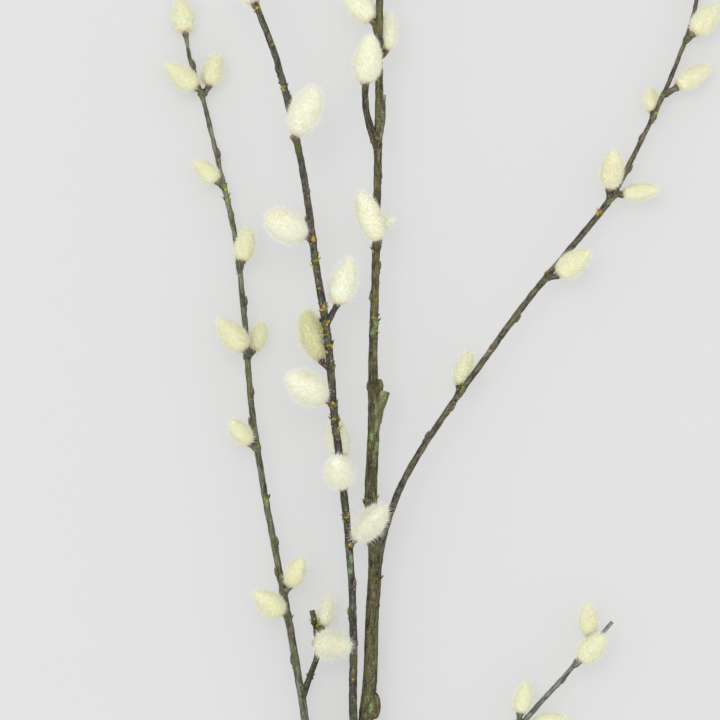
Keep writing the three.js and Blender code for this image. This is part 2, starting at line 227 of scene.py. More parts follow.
def node_on(shoot, height, turn):
    """Middle point, growth direction, outward direction and radius at a ruler height, seen from a side."""
    line = lines[shoot]
    at = int(np.clip(np.abs(line[:, 1] - RULER[1] - height * MM).argmin(), 1, len(line) - 2))
    growth = unit(line[at + 1, :3] - line[at - 1, :3])
    right = unit(np.cross(growth, (0, 0, 1)))
    above = np.cross(right, growth)
    outward = above * math.cos(math.radians(turn)) + right * math.sin(math.radians(turn))
    return line[at, :3], growth, outward, line[at, 3]


def bark_points(places):
    """The point on the bark at each shoot, height and side."""
    nodes = [node_on(*place) for place in places]
    return [middle + outward * radius for middle, _, outward, radius in nodes]


print("top of the leader at 300 mm:", bark_points([("leader", 300, 0)])[0].round(4))

# %% [markdown]
# Each catkin's place is read from its CAD node: the two points furthest apart are its foot and its
# tip, and the foot is the one nearer the wood. Its width is measured across that line, less the
# tufts that the solid stands proud by.

# %% Where the catkins sit
TUFT_RISE = 1.1
catkins = {}
for name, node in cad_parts.items():
    if name == "wood":
        continue
    points = np.array([vertex.co for vertex in node.data.vertices])
    gaps = np.linalg.norm(points[:, None] - points[None], axis=2)
    ends = [points[i] for i in np.unravel_index(gaps.argmax(), gaps.shape)]
    foot, tip = sorted(ends, key=lambda end: wood_surface.find_nearest(Vector(end))[3])
    axis = unit(tip - foot)
    across = points - foot - np.outer((points - foot) @ axis, axis)
    catkins[name] = {
        "foot": foot,
        "axis": axis,
        "length": np.linalg.norm(tip - foot),
        "width": 2 * np.linalg.norm(across, axis=1).max() / TUFT_RISE,
        "shoot": name[len("catkin_"):].rsplit("_", 1)[0],
    }
lengths = sorted({round(catkin["length"] / MM) for catkin in catkins.values()})
print("catkins:", len(catkins), "lengths, mm:", lengths)

# %% [markdown]
# A catkin sits on a spur, a stalk a few millimetres long that leaves the shoot at a node and ends in
# a small cup of bud scales. A spur is swept along a curve like a shoot, so its middle line and its
# radii are worked out here and handed to the same tree. Most spurs rise 3 mm along the shoot, and a
# few more or less.

# %% The spurs
USUAL_RISE = 3 * MM
RISES = {"catkin_leader_4": 11 * MM, "catkin_left_side_1": 0, "catkin_front_6": 8 * MM,
         "catkin_right_6": 6 * MM, "catkin_low_3": 5 * MM}
SEAT_GAP = 0.3 * MM
CUP_DEPTH = 2.2 * MM
SPUR_SHARES = (0, 0.45, 0.62, 0.78, 0.94, 1)
SPUR_RADII = (2.0, 1.5, 1.35, 1.7, 2.05, 1.8)
SPUR_POINTS = 14

spur_lines = {}
for name, catkin in catkins.items():
    line = lines[catkin["shoot"]]
    seat = catkin["foot"] - catkin["axis"] * SEAT_GAP
    at = np.linalg.norm(line[:, :3] - seat, axis=1).argmin()
    if name.endswith("_end"):
        catkin["node"] = line[at, 1]
        continue
    at = max(1, at - round(RISES.get(name, USUAL_RISE) / RING_SPACING))
    catkin["node"] = line[at, 1]
    root = line[at, :3]
    neck = seat - catkin["axis"] * CUP_DEPTH
    over = seat + catkin["axis"] * 2 * SEAT_GAP
    share = np.linspace(0, 1, SPUR_POINTS)[:, None]
    middle = (1 - share) ** 2 * root + 2 * share * (1 - share) * neck + share**2 * over
    radius = np.interp(share[:, 0], SPUR_SHARES, SPUR_RADII) * MM
    radius[0] = min(radius[0], line[at, 3])
    spur_lines[name] = np.column_stack([middle, radius])
print("spurs:", len(spur_lines))

# %% [markdown]
# Willow buds climb a shoot in a spiral, one after each 137.5 degrees of turn. On a long shoot they lie
# between two heights on the ruler. They are kept where the CAD wood has one, which is tested by asking
# how far the CAD surface is from the bud's tip. A leaf scar lies under every bud.

# %% Where the buds sit
BUDDED = {
    "leader": (250, 600), "left": (112, 525), "front": (212, 535), "right": (300, 575), "low": (118, 232),
}
BUD_SPACING = 15
BUD_TURN = 137.5
BUD_LENGTH = 4.2 * MM
BUD_RADIUS = 1.1 * MM
BUD_LEAN = math.radians(24)
BUD_FOUND_WITHIN = 0.3 * MM
SCAR_DROP = 1.3 * MM

bud_roots, bud_rises, bud_outs, scar_places = [], [], [], []
for shoot, (lowest, highest) in BUDDED.items():
    for count, height in enumerate(np.arange(lowest, highest, BUD_SPACING)):
        middle, growth, outward, radius = node_on(shoot, height, count * BUD_TURN)
        root = middle + outward * (radius - BUD_RADIUS / 2)
        rise = growth * math.cos(BUD_LEAN) + outward * math.sin(BUD_LEAN)
        if wood_surface.find_nearest(Vector(root + rise * BUD_LENGTH))[3] > BUD_FOUND_WITHIN:
            continue
        bud_roots.append(root)
        bud_rises.append(rise)
        bud_outs.append(outward)
        scar_places.append(middle + outward * radius - growth * SCAR_DROP)
print("buds:", len(bud_roots))

# %% [markdown]
# A leaf scar also lies under every spur, and a few more show where leaves fell without leaving a bud.
# Those few are listed by shoot, height and side, as they are seen in the photograph.

# %% Where the leaf scars lie
SPUR_SCAR_OUT = 2 * MM
BARE_SCARS = [
    ("front", 544, 10), ("front", 505, -20), ("front", 419, 0), ("front", 341, -15), ("front", 334, 15),
    ("front", 291.5, 0), ("front", 321, 30), ("leader", 391, -10), ("leader", 385, 25), ("leader", 261, 0),
    ("front", 395, -20), ("front", 389, 25), ("front", 383, -35), ("front", 377, 10), ("leader", 401, 15),
    ("leader", 300, -30), ("right", 356, -20), ("right", 444, 10), ("left", 300, 0), ("left", 450, 15),
    ("leader", 475, -40), ("leader_side", 480, -60), ("left_side", 238, -90), ("left_side", 211, 90),
]

for name, line in spur_lines.items():
    shoot_line = lines[catkins[name]["shoot"]]
    from_root = np.linalg.norm(line[:, :3] - line[0, :3], axis=1)
    leaving = line[np.abs(from_root - SPUR_SCAR_OUT).argmin(), :3]
    scar_places.append(leaving - unit(shoot_line[-1, :3] - shoot_line[0, :3]) * SCAR_DROP)
scar_places += bark_points(BARE_SCARS)
print("scars:", len(scar_places))

# %% [markdown]
# Moss and green algae grow on the older, damper bark: on the leader round its forks and stubs, on the
# burl, and in a few patches on the other shoots. They are listed in the same way as the scars.

# %% Where the bark is green
MOSS = [
    ("leader", 336, 25), ("leader", 331, -25), ("leader", 327, 40), ("leader", 389, 30), ("leader", 384, -15),
    ("leader", 197, 30), ("leader", 200, -10), ("cut_stub", 352, 20), ("cut_stub", 346, -40),
    ("front", 271, 25), ("front", 266, -10), ("front", 245, 40), ("front", 310, -30), ("front", 397, 60),
    ("left", 458, 10), ("left", 449, -15), ("leader", 120, 30), ("leader", 92, -20), ("right", 450, 30),
    ("right", 421, 0),
]
moss_places = bark_points(MOSS)
print("moss patches:", len(moss_places))


# %% [markdown]
# A few helpers serve the materials and the Geometry Nodes trees. One turns the sRGB hex colours that
# people read into the linear values that shaders use. One adds a node, sets it and links it. One lays
# a stain over a colour, which is how most finishes here are built up, layer on layer.

# %% Helpers for node trees
SMOOTH = {"interpolation_type": "SMOOTHSTEP"}
COLOURS = {"data_type": "RGBA"}


def linear(hex_colour):
    parts = [int(hex_colour[i:i + 2], 16) / 255 for i in (1, 3, 5)]
    return tuple(c / 12.92 if c <= 0.04045 else ((c + 0.055) / 1.055) ** 2.4 for c in parts) + (1.0,)


def add(tree, kind, settings=None, inputs=None):
    """Add a node to a tree, set its properties, and fill or link its inputs. Returns its outputs."""
    node = tree.nodes.new(kind)
    for key, value in (settings or {}).items():
        setattr(node, key, value)
    for key, value in (inputs or {}).items():
        if isinstance(value, bpy.types.NodeSocket):
            tree.links.new(value, node.inputs[key])
        else:
            node.inputs[key].default_value = value
    return node.outputs


def stain(tree, under, over, pattern, bare, full, strength=1.0):
    """Lay one colour over another where a pattern goes from its bare value to its full one."""
    reach = {"Value": pattern, "From Min": bare, "From Max": full, "To Max": strength}
    cover = add(tree, "ShaderNodeMapRange", SMOOTH, reach)["Result"]
    return add(tree, "ShaderNodeMix", COLOURS, {"Factor": cover, "A": under, "B": over})["Result"]


def new_material(name):
    material = bpy.data.materials.new(name)
    material.use_nodes = True
    return material, material.node_tree, material.node_tree.nodes["Principled BSDF"]


print("mid grey is", round(linear("#808080")[0], 3), "in linear light")

# %% [markdown]
# Willow bark on young shoots is smooth and thin, with fine lengthwise wrinkles, small pale pores and
# a dull satin surface. Patterns are laid out in straightened stem coordinates, which are stored on the
# mesh, so that the wrinkles follow every bend. Each pattern is noise with a real width across the stem
# and a length along it, in millimetres. The finest wrinkles and pores are drawn coarser than real ones,
# because those are smaller than a pixel.

# %% Young willow bark: its patterns
GRAIN_SIZES = {
    "mottle": (1.9, 6, 4.0), "wrinkle": (0.8, 7, 3.0), "fleck": (0.7, 1.12, 3.0), "patch": (4, 14, 4.0),
    "streak": (1.4, 7, 3.0),
}
GRAIN_ROUGHNESS = 0.62
VECTOR_MATHS = "ShaderNodeVectorMath"

bark, tree, shader = new_material("young_willow_bark")
marks = {
    mark: add(tree, "ShaderNodeAttribute", {"attribute_name": mark})
    for mark in ("stem", "tone", "scar", "flush", "moss", "sun")
}
grain = {}
for name, (across, along, detail) in GRAIN_SIZES.items():
    scale = (1 / (across * MM), 1 / (across * MM), 1 / (along * MM))
    stretched = add(tree, VECTOR_MATHS, {"operation": "MULTIPLY"}, {0: marks["stem"]["Vector"], 1: scale})
    grain[name] = add(tree, "ShaderNodeTexNoise", None, {
        "Vector": stretched[0], "Scale": 1.0, "Detail": detail, "Roughness": GRAIN_ROUGHNESS,
    })[0]
print("bark patterns:", ", ".join(grain))

# %% [markdown]
# The colour of each shoot comes as an attribute on its mesh. Mottling and wrinkles darken and lighten
#  it, and painted light makes the bark paler where it faces up and darker on its flanks. Over that lie
#  olive patches, pale pores and dark pits.

# %% Young willow bark: its tone
MOTTLE_IN_PAINTED_LIGHT = 0.5
MATHS = "ShaderNodeMath"
MULTIPLY_ADD = {"operation": "MULTIPLY_ADD"}

# Painted light: how far the bark faces up, broken up by the mottle.
mottle_and_painted_top_light = add(tree, MATHS, MULTIPLY_ADD, {0: grain["mottle"], 1: MOTTLE_IN_PAINTED_LIGHT, 2: marks["sun"]["Fac"]})
bark_colour = marks["tone"]["Color"]
# The last row scales the colour by painted top light: paler where the bark faces up, darker on the flanks.
for pattern, low, high, darkest, lightest in (
    (grain["mottle"], 0.33, 0.67, 0.4, 1.7),
    (grain["wrinkle"], 0.32, 0.68, 0.62, 1.38),
    (mottle_and_painted_top_light[0], 0.2, 1.2, 0.6, 1.08),
):
    reach = {"Value": pattern, "From Min": low, "From Max": high, "To Min": darkest, "To Max": lightest}
    shade = add(tree, "ShaderNodeMapRange", SMOOTH, reach)["Result"]
    bark_colour = add(tree, VECTOR_MATHS, {"operation": "SCALE"}, {0: bark_colour, "Scale": shade})[0]
bark_colour = stain(tree, bark_colour, linear("#5f6634"), grain["patch"], 0.5, 0.64, 0.55)
bark_colour = stain(tree, bark_colour, linear("#a59c8a"), grain["fleck"], 0.58, 0.68, 0.6)
bark_colour = stain(tree, bark_colour, linear("#1d1815"), grain["fleck"], 0.43, 0.33, 0.7)
print("nodes so far:", len(tree.nodes))

# %% [markdown]
# Leaf scars are corky and golden, most of all on the front shoot. Moss and algae are a dull green, in
# streaks that run along the stem. Both fade out with the distance from their places, which the mesh
# carries, and noise breaks up their edges.

# %% Young willow bark: its scars and its green
SCAR_BREAKUP = 0.7
MOSS_BREAKUP = 1.6

reach = {"Value": grain["mottle"], "From Min": 0.4, "From Max": 0.6, "To Min": 0.3}
worn = add(tree, "ShaderNodeMapRange", SMOOTH, reach)["Result"]
golden = add(tree, MATHS, {"operation": "MULTIPLY"}, {0: worn, 1: marks["flush"]["Fac"]})[0]
corky = add(tree, MATHS, MULTIPLY_ADD, {0: grain["fleck"], 1: SCAR_BREAKUP, 2: marks["scar"]["Fac"]})
ochre = stain(tree, linear("#866c1c"), linear("#cdb030"), grain["wrinkle"], 0.35, 0.65)
bark_colour = stain(tree, bark_colour, ochre, corky[0], 0.62, 0.88, golden)
damp = add(tree, MATHS, MULTIPLY_ADD, {0: grain["streak"], 1: MOSS_BREAKUP, 2: marks["moss"]["Fac"]})
lichen = stain(tree, linear("#556b30"), linear("#8fae78"), grain["fleck"], 0.35, 0.65)
bark_colour = stain(tree, bark_colour, lichen, damp[0], 1.36, 1.74, 0.72)
tree.links.new(bark_colour, shader.inputs["Base Color"])
print("nodes so far:", len(tree.nodes))

# %% [markdown]
# Dry bark shines little, so it stays dark in a bright room: its specular level is under half of the
# usual one, and its roughness varies with the mottling. A fine bump lets wrinkles and pores catch the
# light. The larger wrinkles are real geometry.

# %% Young willow bark: its shine
BARK_SHINE = 0.22
PORE_SHARE = 0.5
BARK_BUMP = 0.15 * MM

reach = {"Value": grain["mottle"], "From Min": 0.2, "From Max": 0.8, "To Min": 0.5, "To Max": 0.78}
tree.links.new(add(tree, "ShaderNodeMapRange", SMOOTH, reach)["Result"], shader.inputs["Roughness"])
shader.inputs["Specular IOR Level"].default_value = BARK_SHINE
relief = add(tree, MATHS, MULTIPLY_ADD, {0: grain["fleck"], 1: PORE_SHARE, 2: grain["wrinkle"]})[0]
bump = add(tree, "ShaderNodeBump", None, {"Height": relief, "Strength": 0.5, "Distance": BARK_BUMP})[0]
tree.links.new(bump, shader.inputs["Normal"])
print("material:", bark.name, "with", len(tree.nodes), "nodes")


# %% [markdown]
# Shoots and spurs are round bars that follow a line, which is what Geometry Nodes do best. The tree
# gets a mesh of bare edges and named inputs for every size, so that one tree serves the whole wood.
# It could also be a skin modifier, but that one can't store stem coordinates.

# %% The bark tree: its inputs
def new_tree(name, sizes):
    """A Geometry Nodes tree with a geometry in and out and named inputs. Returns it and its inputs."""
    tree = bpy.data.node_groups.new(name, "GeometryNodeTree")
    tree.interface.new_socket("Geometry", in_out="OUTPUT", socket_type="NodeSocketGeometry")
    tree.interface.new_socket("Geometry", in_out="INPUT", socket_type="NodeSocketGeometry")
    for label, kind in sizes.items():
        tree.interface.new_socket(label, in_out="INPUT", socket_type="NodeSocket" + kind)
    return tree, add(tree, "NodeGroupInput")


rind, given = new_tree("bark_along_lines", {
    "Sides": "Int", "Scars": "Object", "Moss": "Object", "Wrinkle Height": "Float", "Wrinkle Width": "Float",
    "Wrinkle Length": "Float", "Lump Height": "Float", "Lump Size": "Float", "Cushion Height": "Float",
    "Cushion Reach": "Float", "Moss Reach": "Float", "Material": "Material",
})
print("inputs:", len(given) - 1)

# %% [markdown]
# The line of edges becomes a curve, and a circle is swept along it with the stored radius. Each point
# of the surface then gets its place on the straightened stem: round the middle, and along it.

# %% The bark tree: round bars along the lines
STORE = "GeometryNodeStoreNamedAttribute"
READ = "GeometryNodeInputNamedAttribute"
VECTOR = {"data_type": "FLOAT_VECTOR"}

here = add(rind, "GeometryNodeInputPosition")[0]
tangent = add(rind, "GeometryNodeInputTangent")[0]
thick, along = (add(rind, READ, None, {"Name": name})["Attribute"] for name in ("thick", "along"))
ring = add(rind, READ, VECTOR, {"Name": "round"})["Attribute"]
curve = add(rind, "GeometryNodeMeshToCurve", None, {"Mesh": given["Geometry"]})["Curve"]
curve = add(rind, STORE, VECTOR, {"Geometry": curve, "Name": "growth", "Value": tangent})[0]
sides = {"Resolution": given["Sides"], "Radius": 1.0}
circle = add(rind, "GeometryNodeCurvePrimitiveCircle", None, sides)["Curve"]
circle = add(rind, STORE, VECTOR, {"Geometry": circle, "Name": "round", "Value": here})[0]
bar = add(rind, "GeometryNodeCurveToMesh", None, {
    "Curve": curve, "Profile Curve": circle, "Scale": thick, "Fill Caps": True,
})[0]
straight = add(rind, "ShaderNodeCombineXYZ", None, {"Z": along})[0]
stem = add(rind, VECTOR_MATHS, MULTIPLY_ADD, {0: ring, 1: thick, 2: straight})[0]
bar = add(rind, STORE, VECTOR, {"Geometry": bar, "Name": "stem", "Value": stem})[0]
print("tree:", rind.name, "with", len(rind.nodes), "nodes so far")

# %% [markdown]
# How close a scar or a patch of moss is gets stored for the material and for the relief. A scar is a
# band across the stem and moss a streak along it, so the distance along the stem counts more for the
# one and less for the other.

# %% The bark tree: scars and moss near by
SCAR_SQUEEZE = 2.6
MOSS_SQUEEZE = 0.45


def nearness(target, reach, squeeze):
    """1 on a point of the target object, 0 further off than reach. Squeeze shortens that along the stem."""
    points = add(rind, "GeometryNodeObjectInfo", None, {"Object": target})["Geometry"]
    nearest = add(rind, "GeometryNodeProximity", {"target_element": "POINTS"}, {0: points})["Position"]
    growth = add(rind, READ, VECTOR, {"Name": "growth"})["Attribute"]
    gap = add(rind, VECTOR_MATHS, {"operation": "SUBTRACT"}, {0: here, 1: nearest})[0]
    lengthwise = add(rind, VECTOR_MATHS, {"operation": "DOT_PRODUCT"}, {0: gap, 1: growth})["Value"]
    extra = add(rind, MATHS, {"operation": "MULTIPLY"}, {0: lengthwise, 1: squeeze - 1})[0]
    gap = add(rind, VECTOR_MATHS, MULTIPLY_ADD, {0: growth, 1: extra, 2: gap})[0]
    gap = add(rind, VECTOR_MATHS, {"operation": "LENGTH"}, {0: gap})["Value"]
    fade = {"Value": gap, "From Min": 0.0, "From Max": reach, "To Min": 1.0, "To Max": 0.0}
    return add(rind, "ShaderNodeMapRange", SMOOTH, fade)["Result"]


scar_near = nearness(given["Scars"], given["Cushion Reach"], SCAR_SQUEEZE)
moss_near = nearness(given["Moss"], given["Moss Reach"], MOSS_SQUEEZE)
bar = add(rind, STORE, None, {"Geometry": bar, "Name": "scar", "Value": scar_near})[0]
bar = add(rind, STORE, None, {"Geometry": bar, "Name": "moss", "Value": moss_near})[0]
print("tree:", rind.name, "with", len(rind.nodes), "nodes so far")

# %% [markdown]
# Noise in stem coordinates pushes the surface into lengthwise wrinkles and soft lumps. Near each scar
#  the bark swells into the little cushion that carried a leaf, and moss stands a little proud. At the end
#  how far the bark faces up is stored, for the painted top light in its colour.

# %% The bark tree: wrinkles, lumps and cushions
NOISE_MIDDLE = 0.5

in_stem = add(rind, READ, VECTOR, {"Name": "stem"})["Attribute"]
wrinkle_ways = add(rind, "ShaderNodeCombineXYZ", None, {
    "X": given["Wrinkle Width"], "Y": given["Wrinkle Width"], "Z": given["Wrinkle Length"],
})[0]
push = 0.0
for size, detail, rise in (
    (wrinkle_ways, 2.0, given["Wrinkle Height"]),
    (given["Lump Size"], 1.0, given["Lump Height"]),
):
    folded = add(rind, VECTOR_MATHS, {"operation": "DIVIDE"}, {0: in_stem, 1: size})[0]
    folds = add(rind, "ShaderNodeTexNoise", None, {"Vector": folded, "Scale": 1.0, "Detail": detail})[0]
    folds = add(rind, MATHS, {"operation": "SUBTRACT"}, {0: folds, 1: NOISE_MIDDLE})[0]
    push = add(rind, MATHS, MULTIPLY_ADD, {0: folds, 1: rise, 2: push})[0]
for mark, rise in (("scar", given["Cushion Height"]), ("moss", given["Wrinkle Height"])):
    near = add(rind, READ, None, {"Name": mark})["Attribute"]
    push = add(rind, MATHS, MULTIPLY_ADD, {0: near, 1: rise, 2: push})[0]
outward = add(rind, "GeometryNodeInputNormal")[0]
offset = add(rind, VECTOR_MATHS, {"operation": "SCALE"}, {0: outward, "Scale": push})[0]
bar = add(rind, "GeometryNodeSetPosition", None, {"Geometry": bar, "Offset": offset})[0]
bar = add(rind, "GeometryNodeSetShadeSmooth", None, {0: bar})[0]
# Stored for painted light in the bark colour: up-facing bark lighter, flanks darker.
upward = add(rind, "ShaderNodeSeparateXYZ", None, {0: outward})["Z"]
bar = add(rind, STORE, None, {"Geometry": bar, "Name": "sun", "Value": upward})[0]
bar = add(rind, "GeometryNodeRealizeInstances", None, {0: bar})[0]
bar = add(rind, "GeometryNodeSetMaterial", None, {"Geometry": bar, "Material": given["Material"]})[0]
add(rind, "NodeGroupOutput", None, {0: bar})
print("tree:", rind.name, "with", len(rind.nodes), "nodes")

# %% [markdown]
# A shoot swells a little at its nodes and at the foot where it leaves older wood, and widens to a cup
# where a catkin sits at its end. Spurs keep the radii that they have, in the bark of their shoot.

# %% The lines of the shoots and spurs
NODE_SWELL = 0.18
NODE_SPREAD = 1.8 * MM
FOOT_SWELL = 0.45
FOOT_SPREAD = 5 * MM
CUP_RADIUS = 1.7 * MM


def run_of(line):
    """How far each point of a line is from its start, along the line."""
    return np.append(0, np.cumsum(np.linalg.norm(np.diff(line[:, :3], axis=0), axis=1)))


wood_lines = []
for name, line in lines.items():
    grown = line.copy()
    run = run_of(line)
    if name != "leader":
        grown[:, 3] *= 1 + FOOT_SWELL * np.exp(-run / FOOT_SPREAD)
    for catkin in catkins.values():
        if catkin["shoot"] == name:
            grown[:, 3] *= 1 + NODE_SWELL * np.exp(-(((line[:, 1] - catkin["node"]) / NODE_SPREAD) ** 2))
    if "catkin_" + name + "_end" in catkins:
        cup = np.exp(-(((run[-1] - run) / CUP_DEPTH) ** 2))
        grown[:, 3] = np.maximum(grown[:, 3], grown[:, 3] + (CUP_RADIUS - grown[:, 3]) * cup)
    wood_lines.append((grown, *BARKS[name]))
for name, line in spur_lines.items():
    wood_lines.append((line, *BARKS[catkins[name]["shoot"]]))
print("lines:", len(wood_lines))

# %% [markdown]
# Two old branch scars on the leader have healed over and swell like burls. Each is a short line along
# the leader with the radii of a drawn-out ball: a place, its radius, and how far it is stretched.

# %% The burls
BURLS = [((0.5, 196.5, 21.4), 3.9, 2.0), ((3.5, 356.6, 35), 2.1, 2.2)]
BURL_RINGS = 13
BURL_TILT = 0.1
BURL_FLUSH = 0.4

swing = np.linspace(-1, 1, BURL_RINGS)[1:-1, None]
for place, radius, stretch in BURLS:
    middle = RULER + np.array(place) * MM + swing * radius * MM * np.array([0, stretch, BURL_TILT])
    burl = np.hstack([middle, radius * MM * np.sqrt(1 - swing**2)])
    wood_lines.append((burl, BARKS["leader"][0], BURL_FLUSH))
print("lines with the burls:", len(wood_lines))

# %% [markdown]
# All lines go into one mesh of edges, because the wood is one grown piece. Each point carries its
# radius, its distance along the line, its flush and its tone, which gets paler from the old foot of a
# shoot to its young tip. Each line's distance starts elsewhere, so that no two lines look alike.

# %% The mesh of lines
AGEING = (0.82, 1.15)
LINE_SHIFT = 0.7


def plain_object(name, points, edges=()):
    mesh = bpy.data.meshes.new(name)
    mesh.from_pydata([tuple(point) for point in points], list(edges), [])
    thing = bpy.data.objects.new(name, mesh)
    bpy.context.scene.collection.objects.link(thing)
    return thing


def give(mesh, name, kind, values):
    """Store one value a point on a mesh, under a name that trees and materials can read."""
    key = {"FLOAT_COLOR": "color", "FLOAT_VECTOR": "vector", "FLOAT": "value"}[kind]
    values = np.asarray(values, dtype=np.float32)
    mesh.attributes.new(name, kind, "POINT").data.foreach_set(key, values.ravel())


points = np.vstack([line for line, _, _ in wood_lines])
starts = np.cumsum([0] + [len(line) for line, _, _ in wood_lines])
edges = [(i, i + 1) for low, high in zip(starts, starts[1:]) for i in range(low, high - 1)]
wood_line = plain_object("lines_of_the_wood", points[:, :3], edges)
runs = [number * LINE_SHIFT + run_of(line) for number, (line, _, _) in enumerate(wood_lines)]
tones = [np.outer(np.linspace(*AGEING, len(line)), linear(tone)) for line, tone, _ in wood_lines]
flushes = [np.full(len(line), flush) for line, _, flush in wood_lines]
give(wood_line.data, "thick", "FLOAT", points[:, 3])
give(wood_line.data, "along", "FLOAT", np.concatenate(runs))
give(wood_line.data, "tone", "FLOAT_COLOR", np.vstack(tones))
give(wood_line.data, "flush", "FLOAT", np.concatenate(flushes))
print("points:", len(points), "edges:", len(edges))


# %% [markdown]
# A tree is put on an object as a modifier. Its inputs are set by their identifiers before anything is
# evaluated, then the result is taken off as a plain mesh, which is what the export keeps. The places of
# scars and moss go in as two objects that are only points.

# %% From tree to plain mesh
def grow(source, tree, name, values):
    """Run a tree on an object and keep the result as a plain mesh object. The source is removed."""
    modifier = source.modifiers.new(name, "NODES")
    modifier.node_group = tree
    for item in tree.interface.items_tree:
        if item.in_out == "INPUT" and item.name in values:
            modifier[item.identifier] = values[item.name]
    depsgraph = bpy.context.evaluated_depsgraph_get()
    evaluated = source.evaluated_get(depsgraph)
    mesh = bpy.data.meshes.new_from_object(evaluated, preserve_all_data_layers=True, depsgraph=depsgraph)
    mesh.name = name
    source.modifiers.clear()
    bpy.data.objects.remove(source)
    thing = bpy.data.objects.new(name, mesh)
    bpy.context.scene.collection.objects.link(thing)
    return thing


scar_points = plain_object("scar_places", scar_places)
moss_points = plain_object("moss_places", moss_places)
print("point objects:", scar_points.name, "and", moss_points.name)


# %% [markdown]
# Now the wood grows: twenty sides are round enough for stems as thin as these. Nothing may reach below
#  the table, so what would is pressed flat there. The piece replaces the faceted wood of the frame and
#  hangs from the root body.

# %% The wood
def press_on_table(thing):
    for vertex in thing.data.vertices:
        vertex.co.z = max(vertex.co.z, 0.0)


def triangles(thing):
    return sum(len(face.vertices) - 2 for face in thing.data.polygons)


willow_wood = grow(wood_line, rind, "willow_wood", {
    "Sides": 20, "Scars": scar_points, "Moss": moss_points, "Material": bark,
    "Wrinkle Height": 0.22 * MM, "Wrinkle Width": 0.9 * MM, "Wrinkle Length": 5 * MM,
    "Lump Height": 0.85 * MM, "Lump Size": 4 * MM,
    "Cushion Height": 0.7 * MM, "Cushion Reach": 2.4 * MM, "Moss Reach": 3.6 * MM,
})
for places in (scar_points, moss_points):
    bpy.data.objects.remove(places)
press_on_table(willow_wood)
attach(willow_wood, "root")
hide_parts("wood")
print("wood triangles:", triangles(willow_wood))

# %% [markdown]
# A closed willow bud is one smooth scale like a pointed cap, pressed flat against the shoot. It is
# brown and shinier than the bark, with a paler tip and a few olive blotches about a millimetre wide.

# %% Bud scale, smooth and slightly glossy
BLOTCH_SIZE = 0.9 * MM
BUD_ROUGHNESS = 0.45

bud_scale, tree, shader = new_material("willow_bud_scale")
up = add(tree, "ShaderNodeAttribute", {"attribute_name": "up"})["Fac"]
place = add(tree, "ShaderNodeTexCoord")["Object"]
blotch = add(tree, "ShaderNodeTexNoise", None, {"Vector": place, "Scale": 1 / BLOTCH_SIZE, "Detail": 2.0})[0]
bud_colour = stain(tree, linear("#4a3a30"), linear("#8a7a4a"), up, 0.2, 1.0)
bud_colour = stain(tree, bud_colour, linear("#5a5238"), blotch, 0.35, 0.7)
tree.links.new(bud_colour, shader.inputs["Base Color"])
shader.inputs["Roughness"].default_value = BUD_ROUGHNESS
bump = add(tree, "ShaderNodeBump", None, {"Height": blotch, "Strength": 0.3, "Distance": 0.1 * MM})[0]
tree.links.new(bump, shader.inputs["Normal"])
print("material:", bud_scale.name)

# %% [markdown]
# Every bud is the same shape in its own place, so one bud is made and a tree sets it on points. Each
# point says which way its bud rises and which side of it faces out. A fixed seed varies the sizes. The
# same tree sets the torn scales further down.

# %% The tree that sets buds on their nodes
setting, given = new_tree("buds_on_nodes", {
    "Bud": "Object", "Seed": "Int", "Least Size": "Float", "Most Size": "Float", "Material": "Material",
})
rise, out = (add(setting, READ, VECTOR, {"Name": name})["Attribute"] for name in ("rise", "out"))
bulk = add(setting, READ, None, {"Name": "bulk"})["Attribute"]
cloud = add(setting, "GeometryNodeMeshToPoints", None, {"Mesh": given["Geometry"]})["Points"]
turned = add(setting, "FunctionNodeAlignRotationToVector", {"axis": "Z"}, {"Vector": rise})[0]
turned = add(setting, "FunctionNodeAlignRotationToVector", {"axis": "Y", "pivot_axis": "Z"},
             {"Rotation": turned, "Vector": out})[0]
size = add(setting, "FunctionNodeRandomValue", {"data_type": "FLOAT"},
           {2: given["Least Size"], 3: given["Most Size"], "Seed": given["Seed"]})[1]
size = add(setting, MATHS, {"operation": "MULTIPLY"}, {0: size, 1: bulk})[0]
shape = add(setting, "GeometryNodeObjectInfo", None, {"Object": given["Bud"]})["Geometry"]
buds = add(setting, "GeometryNodeInstanceOnPoints", None,
           {"Points": cloud, "Instance": shape, "Rotation": turned, "Scale": size})["Instances"]
buds = add(setting, "GeometryNodeRealizeInstances", None, {0: buds})[0]
buds = add(setting, "GeometryNodeSetMaterial", None, {"Geometry": buds, "Material": given["Material"]})[0]
add(setting, "NodeGroupOutput", None, {0: buds})
print("tree:", setting.name, "with", len(setting.nodes), "nodes")

# %% [markdown]
# One bud is turned like a bead on a lathe: rings of points from a broad foot to a fine tip, squeezed
# flat on the side that faces the shoot and bent so that its tip lies in. The lathe is used again for
# torn scales, cut ends and the cores of catkins.

# %% One bud
BUD_RINGS = [(-0.05, 0.55), (0.06, 0.92), (0.2, 1.0), (0.38, 0.95), (0.56, 0.78), (0.74, 0.5), (0.9, 0.22)]
BUD_AROUND = 9
BUD_FLATNESS = 0.8
BUD_HOOK = 0.9 * MM


def lathe(name, rings, around, place, tip):
    """A closed mesh of rings round an axis: place(share, radius, angle) gives a point, tip is the last."""
    angles = [2 * math.pi * k / around for k in range(around)]
    points = [place(share, radius, angle) for share, radius in rings for angle in angles]
    faces = [tuple(range(around))[::-1]]
    for ring in range(len(rings) - 1):
        low = ring * around
        high = low + around
        for k in range(around):
            following = (k + 1) % around
            faces.append((low + k, low + following, high + following, high + k))
    last = (len(rings) - 1) * around
    faces += [(last + k, last + (k + 1) % around, len(points)) for k in range(around)]
    mesh = bpy.data.meshes.new(name)
    mesh.from_pydata(points + [tip], [], faces)
    mesh.polygons.foreach_set("use_smooth", [True] * len(mesh.polygons))
    return mesh


def shown(name, mesh):
    thing = bpy.data.objects.new(name, mesh)
    bpy.context.scene.collection.objects.link(thing)
    return thing


